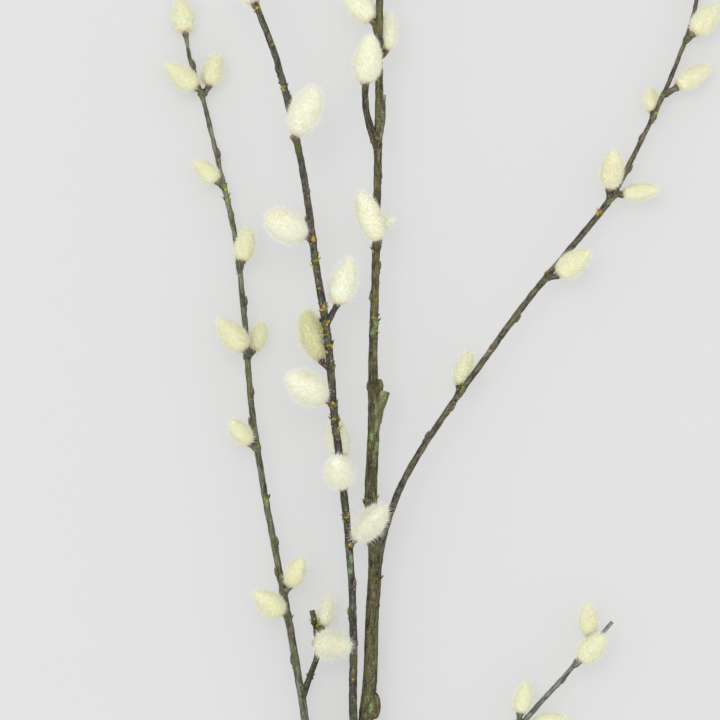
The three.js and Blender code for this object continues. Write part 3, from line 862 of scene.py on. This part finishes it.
def bud_point(share, radius, angle):
    out = radius * BUD_RADIUS * BUD_FLATNESS * math.sin(angle) - BUD_HOOK * max(share, 0) ** 2
    return (radius * BUD_RADIUS * math.cos(angle), out, share * BUD_LENGTH)


one_bud = shown("one_bud", lathe("one_bud", BUD_RINGS, BUD_AROUND, bud_point, (0, -BUD_HOOK, BUD_LENGTH)))
give(one_bud.data, "up", "FLOAT", [vertex.co.z / BUD_LENGTH for vertex in one_bud.data.vertices])
print("one bud has", triangles(one_bud), "triangles")


# %% [markdown]
# The buds are set on the places that were found along the shoots. They grow from the wood, but their
# scale is another material, so they are a piece of their own.

# %% The buds
def set_on_nodes(shape, name, roots, rises, outs, bulks, seed, sizes, material, tints=None):
    """Set copies of a shape on points, with the given ways up and out. The shape is removed."""
    places = plain_object(name + "_places", roots)
    give(places.data, "rise", "FLOAT_VECTOR", rises)
    give(places.data, "out", "FLOAT_VECTOR", outs)
    give(places.data, "bulk", "FLOAT", bulks)
    if tints is not None:
        give(places.data, "tint", "FLOAT", tints)
    piece = grow(places, setting, name, {
        "Bud": shape, "Seed": seed, "Least Size": sizes[0], "Most Size": sizes[1], "Material": material,
    })
    bpy.data.objects.remove(shape)
    return piece


BUD_SEED = 4
BUD_SIZES = (1.0, 1.35)

willow_buds = set_on_nodes(one_bud, "willow_buds", bud_roots, bud_rises, bud_outs, np.ones(len(bud_roots)),
                           BUD_SEED, BUD_SIZES, bud_scale)
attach(willow_buds, "root")
print("bud triangles:", triangles(willow_buds))

# %% [markdown]
# Round the nodes the bark is rough with what is left of old bud scales and leaf stalks: chips about a
# millimetre long that stand off the shoot, some dark, some olive, some golden where they tore, some
# green with algae. They are dry and dull. Each chip's tint is a number that picks one of the four.

# %% Torn bud scale, dull and flaky
CHIP_GRAIN = 0.5 * MM
CHIP_ROUGHNESS = 0.8

torn_scale, tree, shader = new_material("torn_bud_scale")
tint = add(tree, "ShaderNodeAttribute", {"attribute_name": "tint"})["Fac"]
place = add(tree, "ShaderNodeTexCoord")["Object"]
flaw = add(tree, "ShaderNodeTexNoise", None, {"Vector": place, "Scale": 1 / CHIP_GRAIN, "Detail": 2.0})[0]
chip_colour = stain(tree, linear("#3a2f28"), linear("#7d7a30"), tint, 0.28, 0.34)
chip_colour = stain(tree, chip_colour, linear("#cba326"), tint, 0.6, 0.66)
chip_colour = stain(tree, chip_colour, linear("#9fb245"), tint, 0.84, 0.88)
chip_colour = stain(tree, chip_colour, linear("#2f261e"), flaw, 0.45, 0.7, 0.6)
tree.links.new(chip_colour, shader.inputs["Base Color"])
shader.inputs["Roughness"].default_value = CHIP_ROUGHNESS
print("material:", torn_scale.name)

# %% [markdown]
# The places of the chips are drawn round each node with a fixed seed, most of them on the front shoot.
# Where a spur leaves the front shoot, three larger golden flakes are left of the scale that it broke
# through.

# %% Where the torn scales stand
CHIPS_A_NODE = {"front": 9, "leader": 6, "right": 6}
USUAL_CHIPS = 5
CHIP_SPREAD = 1.8
CHIP_SEED = 11
FLAKE_BULK = 1.7
FLAKE_TINT = 0.75
FLAKE_SIDES = (-0.7, 0.1, 0.8)

draw = np.random.default_rng(CHIP_SEED)
chips = []
node_heights = [(catkin["shoot"], (catkin["node"] - RULER[1]) / MM) for catkin in catkins.values()]
node_heights += [(shoot, height) for shoot, height, _ in BARE_SCARS]
for shoot, height in node_heights:
    for _ in range(CHIPS_A_NODE.get(shoot, USUAL_CHIPS)):
        chip_height = height + draw.normal(0, CHIP_SPREAD)
        middle, growth, outward, radius = node_on(shoot, chip_height, draw.uniform(0, 360))
        chips.append((middle + outward * radius, growth, outward, 1.0, draw.uniform(0, 1)))
for name, line in spur_lines.items():
    if catkins[name]["shoot"] == "front":
        middle, growth, _, radius = node_on("front", (catkins[name]["node"] - RULER[1]) / MM, 0)
        spurward = line[len(line) // 2, :3] - middle
        spurward = unit(spurward - growth * (spurward @ growth))
        for angle in FLAKE_SIDES:
            outward = spurward * math.cos(angle) + np.cross(growth, spurward) * math.sin(angle)
            chips.append((middle + outward * radius, growth, outward, FLAKE_BULK, FLAKE_TINT))
print("torn scales:", len(chips))

# %% [markdown]
# One chip is a flat pointed scale with five sides, because hundreds of them have to stay light. It is
# set by the same tree as the buds and leans further out than they do.

# %% The torn scales
CHIP_LEAN = math.radians(38)
CHIP_RINGS = [(-0.3, 0.7), (0.1, 1.0), (0.5, 0.85), (0.85, 0.45)]
CHIP_AROUND = 5
CHIP_LENGTH, CHIP_WIDTH, CHIP_DEPTH = 1.5 * MM, 0.65 * MM, 0.3 * MM
CHIP_SIZE_SEED = 7
CHIP_SIZES = (0.6, 1.5)


def chip_point(share, radius, angle):
    return (radius * CHIP_WIDTH * math.cos(angle), radius * CHIP_DEPTH * math.sin(angle), share * CHIP_LENGTH)


chip_roots, growths, chip_outs, bulks, tints = zip(*chips)
chip_rises = np.array(growths) * math.cos(CHIP_LEAN) + np.array(chip_outs) * math.sin(CHIP_LEAN)
one_chip = shown("one_chip", lathe("one_chip", CHIP_RINGS, CHIP_AROUND, chip_point, (0, 0, CHIP_LENGTH)))
torn_scales = set_on_nodes(one_chip, "torn_bud_scales", chip_roots, chip_rises, chip_outs, bulks,
                           CHIP_SIZE_SEED, CHIP_SIZES, torn_scale, tints)
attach(torn_scales, "root")
print("torn scale triangles:", triangles(torn_scales))

# %% [markdown]
# Where a shoot was cut, its wood shows: pale yellow, with a brown pith in the middle, fine growth rings
# and the dark edge of the bark. The rings follow the span, which is 0 in the middle of the cut and
# about 1 at its edge, and noise makes them uneven.

# %% Cut willow wood, sawn and dry
RING_WIDTH = 0.09
RING_WAVER = 0.6
CUT_GRAIN = 0.8 * MM
CUT_ROUGHNESS = 0.8

cut_wood, tree, shader = new_material("cut_willow_wood")
span = add(tree, "ShaderNodeAttribute", {"attribute_name": "span"})["Fac"]
place = add(tree, "ShaderNodeTexCoord")["Object"]
fibre = add(tree, "ShaderNodeTexNoise", None, {"Vector": place, "Scale": 1 / CUT_GRAIN, "Detail": 3.0})[0]
waver = add(tree, MATHS, {"operation": "MULTIPLY"}, {0: fibre, 1: RING_WAVER})[0]
rings = add(tree, MATHS, MULTIPLY_ADD, {0: span, 1: 1 / RING_WIDTH, 2: waver})[0]
rings = add(tree, MATHS, {"operation": "PINGPONG"}, {0: rings, 1: 1.0})[0]
pale, ringed = linear("#c9b483"), linear("#a58a55")
cut_colour = add(tree, "ShaderNodeMix", COLOURS, {"Factor": rings, "A": pale, "B": ringed})["Result"]
cut_colour = stain(tree, cut_colour, linear("#8d8a52"), fibre, 0.5, 0.75)
cut_colour = stain(tree, cut_colour, linear("#6b4a2a"), span, 0.16, 0.1)
cut_colour = stain(tree, cut_colour, linear("#3c332a"), span, 0.84, 0.92)
tree.links.new(cut_colour, shader.inputs["Base Color"])
shader.inputs["Roughness"].default_value = CUT_ROUGHNESS
print("material:", cut_wood.name)

# %% [markdown]
# Each cut is a slightly domed disc, sunk into the end of its shoot, so that it covers the flat cap of
# the bark there. Its rings are a rise in millimetres and a share of the shoot's radius.

# %% The cut ends
CUT_ENDS = [("leader", 0), ("upper_stub", -1), ("cut_stub", -1), ("low", -1), ("left_side", -1)]
CUT_AROUND = 24
CUT_RINGS = [(-0.5, 0.94), (0.02, 0.94), (0.1, 0.86), (0.16, 0.6), (0.2, 0.3), (0.22, 0.12)]
SIDEWAYS = (0.2, 0.1, 1)

for shoot, end in CUT_ENDS:
    line = lines[shoot]
    facing = unit(line[end, :3] - line[1 if end == 0 else -2, :3])
    side = unit(np.cross(facing, SIDEWAYS))
    other = np.cross(facing, side)
    middle, radius = line[end, :3], line[end, 3]

    def cut_point(rise, share, angle):
        across = side * math.cos(angle) + other * math.sin(angle)
        return tuple(middle + facing * rise * MM + across * share * radius)

    name = "cut_" + shoot
    crown = tuple(middle + facing * CUT_RINGS[-1][0] * MM)
    thing = shown(name, lathe(name, CUT_RINGS, CUT_AROUND, cut_point, crown))
    give(thing.data, "span", "FLOAT", [share for _, share in CUT_RINGS for _ in range(CUT_AROUND)] + [0.0])
    thing.data.materials.append(cut_wood)
    press_on_table(thing)
    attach(thing, "root")
print("cut ends:", len(CUT_ENDS))

# %% [markdown]
# The down of a catkin is silky hair, two or three millimetres long, that grows from the flower scales
# and leans towards the tip. It scatters light like snow: nearly white at the ends, creamy yellow
# below, and peach coloured at the foot, where the scales show. Older down is yellower. A faint warm
# blush is spread over it in patches of about nine millimetres.

# %% Silky willow down: its colours
BLUSH_SIZE = 9 * MM
DULLEST_HAIR = 0.1

down, tree, shader = new_material("silky_willow_down")
up, share, shade, age = (
    add(tree, "ShaderNodeAttribute", {"attribute_name": mark})["Fac"]
    for mark in ("up", "share", "shade", "age")
)
place = add(tree, "ShaderNodeTexCoord")["Object"]
blush = add(tree, "ShaderNodeTexNoise", None, {"Vector": place, "Scale": 1 / BLUSH_SIZE, "Detail": 1.0})[0]
root_colour, tip_colour = (
    add(tree, "ShaderNodeMix", COLOURS, {"Factor": age, "A": linear(young), "B": linear(old)})["Result"]
    for young, old in (("#fafbec", "#e0dfaa"), ("#fcfdf6", "#f2f1ca"))
)
down_colour = stain(tree, root_colour, tip_colour, up, 0.0, 0.9)
down_colour = stain(tree, down_colour, linear("#e3bd94"), share, 0.16, 0.0, 0.45)
dulled = add(tree, MATHS, {"operation": "MULTIPLY"}, {0: shade, 1: DULLEST_HAIR})[0]
layers = {"Factor": dulled, "A": down_colour, "B": linear("#e0e0a8")}
down_colour = add(tree, "ShaderNodeMix", COLOURS, layers)["Result"]
down_colour = stain(tree, down_colour, linear("#f2dfb8"), blush, 0.5, 0.75, 0.25)
tree.links.new(down_colour, shader.inputs["Base Color"])
print("material:", down.name, "with", len(tree.nodes), "nodes")

# %% [markdown]
# Light passes through many hairs before it comes out again, so down has hardly any shadows in it and
# looks creamy. Subsurface light with a reach of about a millimetre gives that. Sheen gives the pale rim
# that soft hair has against the light.

# %% Silky willow down: its softness
DOWN_FEEL = {
    "Roughness": 0.85, "Specular IOR Level": 0.25, "Sheen Weight": 0.5, "Sheen Roughness": 0.4,
    "Subsurface Weight": 0.5, "Subsurface Radius": (1.0, 0.95, 0.8), "Subsurface Scale": 1.1 * MM,
}
for socket, value in DOWN_FEEL.items():
    shader.inputs[socket].default_value = value
print("down is set:", ", ".join(DOWN_FEEL))

# %% [markdown]
# Hair is too fine to set by hand, and hair curves would be lost in the export. The tree scatters roots
# over the catkin's core and leans each hair from the surface towards the tip, with a little disorder.
# A few hairs are twice as long as the rest, and they make the soft edge that down has.

# %% The down tree: roots, leaning and lengths
LONG_HAIR_RARITY = 12.0
HAIR_VARIES, SHORTEST_HAIR = 0.4, 0.65

fur, given = new_tree("down_on_core", {
    "Axis": "Vector", "Hairs": "Float", "Hair Length": "Float", "Hair Radius": "Float", "Lean": "Float",
    "Ruffle": "Float", "Age": "Float", "Seed": "Int", "Material": "Material",
})
seeds = [add(fur, MATHS, {"operation": "ADD"}, {0: given["Seed"], 1: step})[0] for step in (1.0, 2.0, 3.0)]
roots = add(fur, "GeometryNodeDistributePointsOnFaces", {"distribute_method": "RANDOM"},
            {"Mesh": given["Geometry"], "Density": given["Hairs"], "Seed": given["Seed"]})
facing = roots["Normal"]
slope = add(fur, VECTOR_MATHS, {"operation": "DOT_PRODUCT"}, {0: given["Axis"], 1: facing})["Value"]
sunk = add(fur, VECTOR_MATHS, {"operation": "SCALE"}, {0: facing, "Scale": slope})[0]
tipward = add(fur, VECTOR_MATHS, {"operation": "SUBTRACT"}, {0: given["Axis"], 1: sunk})[0]
rest = add(fur, MATHS, {"operation": "SUBTRACT"}, {0: 1.0, 1: given["Lean"]})[0]
upright = add(fur, VECTOR_MATHS, {"operation": "SCALE"}, {0: facing, "Scale": rest})[0]
lean = add(fur, VECTOR_MATHS, MULTIPLY_ADD, {0: tipward, 1: given["Lean"], 2: upright})[0]
stray = add(fur, "FunctionNodeRandomValue", VECTOR, {0: (-1, -1, -1), 1: (1, 1, 1), "Seed": seeds[0]})[0]
way = add(fur, VECTOR_MATHS, MULTIPLY_ADD, {0: stray, 1: given["Ruffle"], 2: lean})[0]
turned = add(fur, "FunctionNodeAlignRotationToVector", {"axis": "Z"}, {"Vector": way})[0]
odds = add(fur, "FunctionNodeRandomValue", {"data_type": "FLOAT"}, {2: 0.0, 3: 1.0, "Seed": seeds[1]})[1]
stretch = add(fur, MATHS, MULTIPLY_ADD, {0: odds, 1: HAIR_VARIES, 2: SHORTEST_HAIR})[0]
extra = add(fur, MATHS, {"operation": "POWER"}, {0: odds, 1: LONG_HAIR_RARITY})[0]
stretch = add(fur, MATHS, {"operation": "ADD"}, {0: stretch, 1: extra})[0]
reach = add(fur, MATHS, {"operation": "MULTIPLY"}, {0: stretch, 1: given["Hair Length"]})[0]
print("tree:", fur.name, "with", len(fur.nodes), "nodes so far")

# %% [markdown]
# Each hair is a slim three-sided spike. Four faces a hair keep thousands of them light. A spike carries
# its share of height, and a spot on a map for baking, where all hairs lie in a column from foot to tip,
# turned a little so that their sides don't fall on one line.

# %% The down tree: one spike on every root
HAIR_COLUMN, HAIR_TO_COLUMN, HAIR_TO_FAN = 0.37, (0, 0.008, 0.6), (0.01, 0.006, 0)

size = add(fur, "ShaderNodeCombineXYZ", None, {
    "X": given["Hair Radius"], "Y": given["Hair Radius"], "Z": reach,
})[0]
spike = add(fur, "GeometryNodeMeshCone", None, {
    "Vertices": 3, "Side Segments": 1, "Radius Top": 0.0, "Radius Bottom": 1.0, "Depth": 1.0,
})["Mesh"]
here = add(fur, "GeometryNodeInputPosition")[0]
above = add(fur, "ShaderNodeSeparateXYZ", None, {0: here})["Z"]
spike = add(fur, STORE, None, {"Geometry": spike, "Name": "up", "Value": above})[0]
column = add(fur, VECTOR_MATHS, {"operation": "DOT_PRODUCT"}, {0: here, 1: HAIR_TO_COLUMN})["Value"]
column = add(fur, MATHS, {"operation": "ADD"}, {0: column, 1: HAIR_COLUMN})[0]
fan = add(fur, VECTOR_MATHS, {"operation": "DOT_PRODUCT"}, {0: here, 1: HAIR_TO_FAN})["Value"]
spot = add(fur, "ShaderNodeCombineXYZ", None, {"X": column, "Y": fan})[0]
spike = add(fur, STORE, VECTOR, {"Geometry": spike, "Name": "spot", "Value": spot})[0]
hairs = add(fur, "GeometryNodeInstanceOnPoints", None, {
    "Points": roots["Points"], "Instance": spike, "Rotation": turned, "Scale": size,
})["Instances"]
odds = add(fur, "FunctionNodeRandomValue", {"data_type": "FLOAT"}, {"Seed": seeds[2]})[1]
hairs = add(fur, STORE, {"domain": "INSTANCE"}, {"Geometry": hairs, "Name": "shade", "Value": odds})[0]
hairs = add(fur, "GeometryNodeRealizeInstances", None, {0: hairs})[0]
print("tree:", fur.name, "with", len(fur.nodes), "nodes so far")

# %% [markdown]
# The skin of the core shows between the hairs, so it gets the same attributes: no height, an even
# shade, and its own column on the map. On that map, skin and hairs alike lie at the height on the
# catkin where they grow, which is what the colours depend on.

# %% The down tree: the skin and the map
SKIN_COLUMN, SKIN_SPREAD = 0.15, 0.13
SKIN_SHADE = 0.5
MAP_HEIGHT, MAP_FOOT = 0.92, 0.04

skin = add(fur, STORE, None, {"Geometry": given["Geometry"], "Name": "up", "Value": 0.0})[0]
skin = add(fur, STORE, None, {"Geometry": skin, "Name": "shade", "Value": SKIN_SHADE})[0]
slant, share = (add(fur, READ, None, {"Name": name})["Attribute"] for name in ("slant", "share"))
column = add(fur, MATHS, MULTIPLY_ADD, {0: slant, 1: SKIN_SPREAD, 2: SKIN_COLUMN})[0]
skin_spot = add(fur, "ShaderNodeCombineXYZ", None, {"X": column})[0]
skin = add(fur, STORE, VECTOR, {"Geometry": skin, "Name": "spot", "Value": skin_spot})[0]
joined = add(fur, "GeometryNodeJoinGeometry", None, {0: skin})[0]
fur.links.new(hairs, joined.node.inputs[0])
whole = add(fur, STORE, None, {"Geometry": joined, "Name": "age", "Value": given["Age"]})[0]
row = add(fur, MATHS, MULTIPLY_ADD, {0: share, 1: MAP_HEIGHT, 2: MAP_FOOT})[0]
row = add(fur, "ShaderNodeCombineXYZ", None, {"Y": row})[0]
spot = add(fur, READ, VECTOR, {"Name": "spot"})["Attribute"]
spot = add(fur, VECTOR_MATHS, {"operation": "ADD"}, {0: spot, 1: row})[0]
whole = add(fur, STORE, {"data_type": "FLOAT2", "domain": "CORNER"},
            {"Geometry": whole, "Name": "OFBake", "Value": spot})[0]
whole = add(fur, "GeometryNodeSetMaterial", None, {"Geometry": whole, "Material": given["Material"]})[0]
add(fur, "NodeGroupOutput", None, {0: whole})
print("tree:", fur.name, "with", len(fur.nodes), "nodes")

# %% [markdown]
# The core of a catkin is an egg on the same formula as its solid, but round and a little slimmer, so
# that the hair stands where the tufts of the solid are. Its skew says how far up it is widest, and its
# taper how slim its ends are.

# %% The core of a catkin
USUAL_EGG, BLUNT_EGG, POINTED_EGG = (0.75, 0.62), (0.95, 0.6), (0.72, 0.8)
BLUNT_ONES = ("leader_1", "front_1", "front_4", "front_5", "front_7", "front_8")
POINTED_ONES = ("left_3", "left_6", "left_9", "left_10")
EGGS = {"catkin_" + name: BLUNT_EGG for name in BLUNT_ONES}
EGGS |= {"catkin_" + name: POINTED_EGG for name in POINTED_ONES}
TIP_INSET = 0.4
CORE_ROWS = 14
CORE_AROUND = 20
CORE_FOOT = (0.02, 0.18)
CORE_SIDEWAYS = (0.3, 0.2, 1)


def core_of(name, catkin, coat):
    """An egg from the foot of a catkin to where its tip hairs start, with each point's share of the way."""
    axis = catkin["axis"]
    reach = catkin["length"] - TIP_INSET * coat["Hair Length"]
    side = unit(np.cross(axis, CORE_SIDEWAYS))
    other = np.cross(axis, side)
    skew, taper = EGGS.get(name, USUAL_EGG)
    shares = np.linspace(0, 1, CORE_ROWS + 1)[1:-1]
    rings = [CORE_FOOT] + [(share, math.sin(math.pi * share**skew) ** taper) for share in shares]

    def point(share, radius, angle):
        out = side * math.cos(angle) + other * math.sin(angle)
        across = radius * coat["core"] * catkin["width"] / 2
        return tuple(catkin["foot"] + axis * share * reach + out * across)

    tip = tuple(catkin["foot"] + axis * reach)
    mesh = lathe(name + "_core", rings, CORE_AROUND, point, tip)
    turns = [math.cos(2 * math.pi * k / CORE_AROUND) for k in range(CORE_AROUND)]
    give(mesh, "share", "FLOAT", [share for share, _ in rings for _ in range(CORE_AROUND)] + [1.0])
    give(mesh, "slant", "FLOAT", turns * len(rings) + [0.0])
    return shown(name + "_core", mesh)


print("blunt or pointed catkins:", len(EGGS))

# %% [markdown]
# Most catkins are sleek, and those of the front shoot fluffier. Two that opened early are ruffled, with
# long hair that stands out, and one is bristly and has yellowed. A coat is the core's share of the
# width, the hairs on a square millimetre, their length and radius in millimetres, their lean and how
# ruffled they are. Real hair is finer: these hairs are as thick as they have to be to show.

# %% Coats and ages
COATS = {
    "sleek": (0.9, 6.6, 1.9, 0.08, 0.36, 0.34),
    "fluffy": (0.91, 6.6, 2.3, 0.085, 0.3, 0.36),
    "ruffled": (0.8, 5.4, 3.4, 0.11, 0.3, 0.38),
    "bristly": (0.9, 3.6, 3.3, 0.15, 0.1, 0.45),
}
COAT_OF = {"catkin_left_side_1": "ruffled", "catkin_front_1": "ruffled", "catkin_front_5": "bristly"}
AGES = {"leader": 0.22, "left": 0.52, "left_side": 0.15, "front": 0.1, "leader_side": 0.2, "right": 0.44,
        "low": 0.46, "catkin_front_5": 0.8}


def coat_of(name, shoot):
    coat = COAT_OF.get(name, "fluffy" if shoot == "front" else "sleek")
    core, hairs, length, radius, lean, ruffle = COATS[coat]
    return {"core": core, "Hairs": hairs / MM**2, "Hair Length": length * MM, "Hair Radius": radius * MM,
            "Lean": lean, "Ruffle": ruffle}


print("coats:", ", ".join(COATS))

# %% [markdown]
# Each catkin grows on its own core with its own seed, and replaces the tufted egg that the frame has in
# its place.

# %% The catkins
SEED_STEP = 10

downy = []
for number, (name, catkin) in enumerate(catkins.items()):
    coat = coat_of(name, catkin["shoot"])
    piece = grow(core_of(name, catkin, coat), fur, name.replace("catkin", "downy_catkin"), {
        **coat, "Axis": catkin["axis"].tolist(), "Seed": number * SEED_STEP,
        "Age": AGES.get(name, AGES[catkin["shoot"]]), "Material": down,
    })
    press_on_table(piece)
    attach(piece, "root")
    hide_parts(name)
    downy.append(piece)
print("catkins:", len(downy), "triangles:", sum(triangles(piece) for piece in downy))

# %% [markdown]
# The floor is a plain pale sheet that glows faintly, like a table lit from below, so that it stays even
# right up to the shoots, as in the photograph. It is part of the stage and not of the twig.

# %% The floor
FLOOR_REACH = 10
FLOOR_FEEL = {
    "Base Color": linear("#a0a0a0"), "Emission Color": linear("#ffffff"), "Emission Strength": 0.34,
    "Roughness": 0.9, "Specular IOR Level": 0.1,
}

floor_finish, tree, shader = new_material("matt_paper")
for socket, value in FLOOR_FEEL.items():
    shader.inputs[socket].default_value = value
corners = [(x * FLOOR_REACH, y * FLOOR_REACH, 0) for x, y in ((-1, -1), (1, -1), (1, 1), (-1, 1))]
floor_mesh = bpy.data.meshes.new("floor")
floor_mesh.from_pydata(corners, [], [(0, 1, 2, 3)])
floor_mesh.materials.append(floor_finish)
floor = shown("floor", floor_mesh)
print("floor:", 2 * FLOOR_REACH, "m wide")

# %% [markdown]
# The light is a bright even room with one large soft lamp close to the line of sight, so that hardly a
# shadow shows beside the shoots, and the down is bright right to its edges.

# %% The light
ROOM_STRENGTH = 0.98
LAMP_PLACE = Vector((-0.3, 0.4, 2.7))
LAMP_WIDTH = 1.4
LAMP_WATTS = 21

room = bpy.data.worlds.new("even_room")
room.use_nodes = True
room.node_tree.nodes["Background"].inputs["Color"].default_value = linear("#ffffff")
room.node_tree.nodes["Background"].inputs["Strength"].default_value = ROOM_STRENGTH
bpy.context.scene.world = room
lamp_data = bpy.data.lights.new("soft_lamp", "AREA")
lamp_data.shape = "DISK"
lamp_data.size = LAMP_WIDTH
lamp_data.energy = LAMP_WATTS
lamp = shown("soft_lamp", lamp_data)
lamp.location = LAMP_PLACE
lamp.rotation_euler = (-LAMP_PLACE).to_track_quat("-Z", "Y").to_euler()
lamp.visible_camera = False
bpy.context.scene.view_settings.view_transform = "Standard"
print("room", ROOM_STRENGTH, "lamp", LAMP_WATTS, "W")
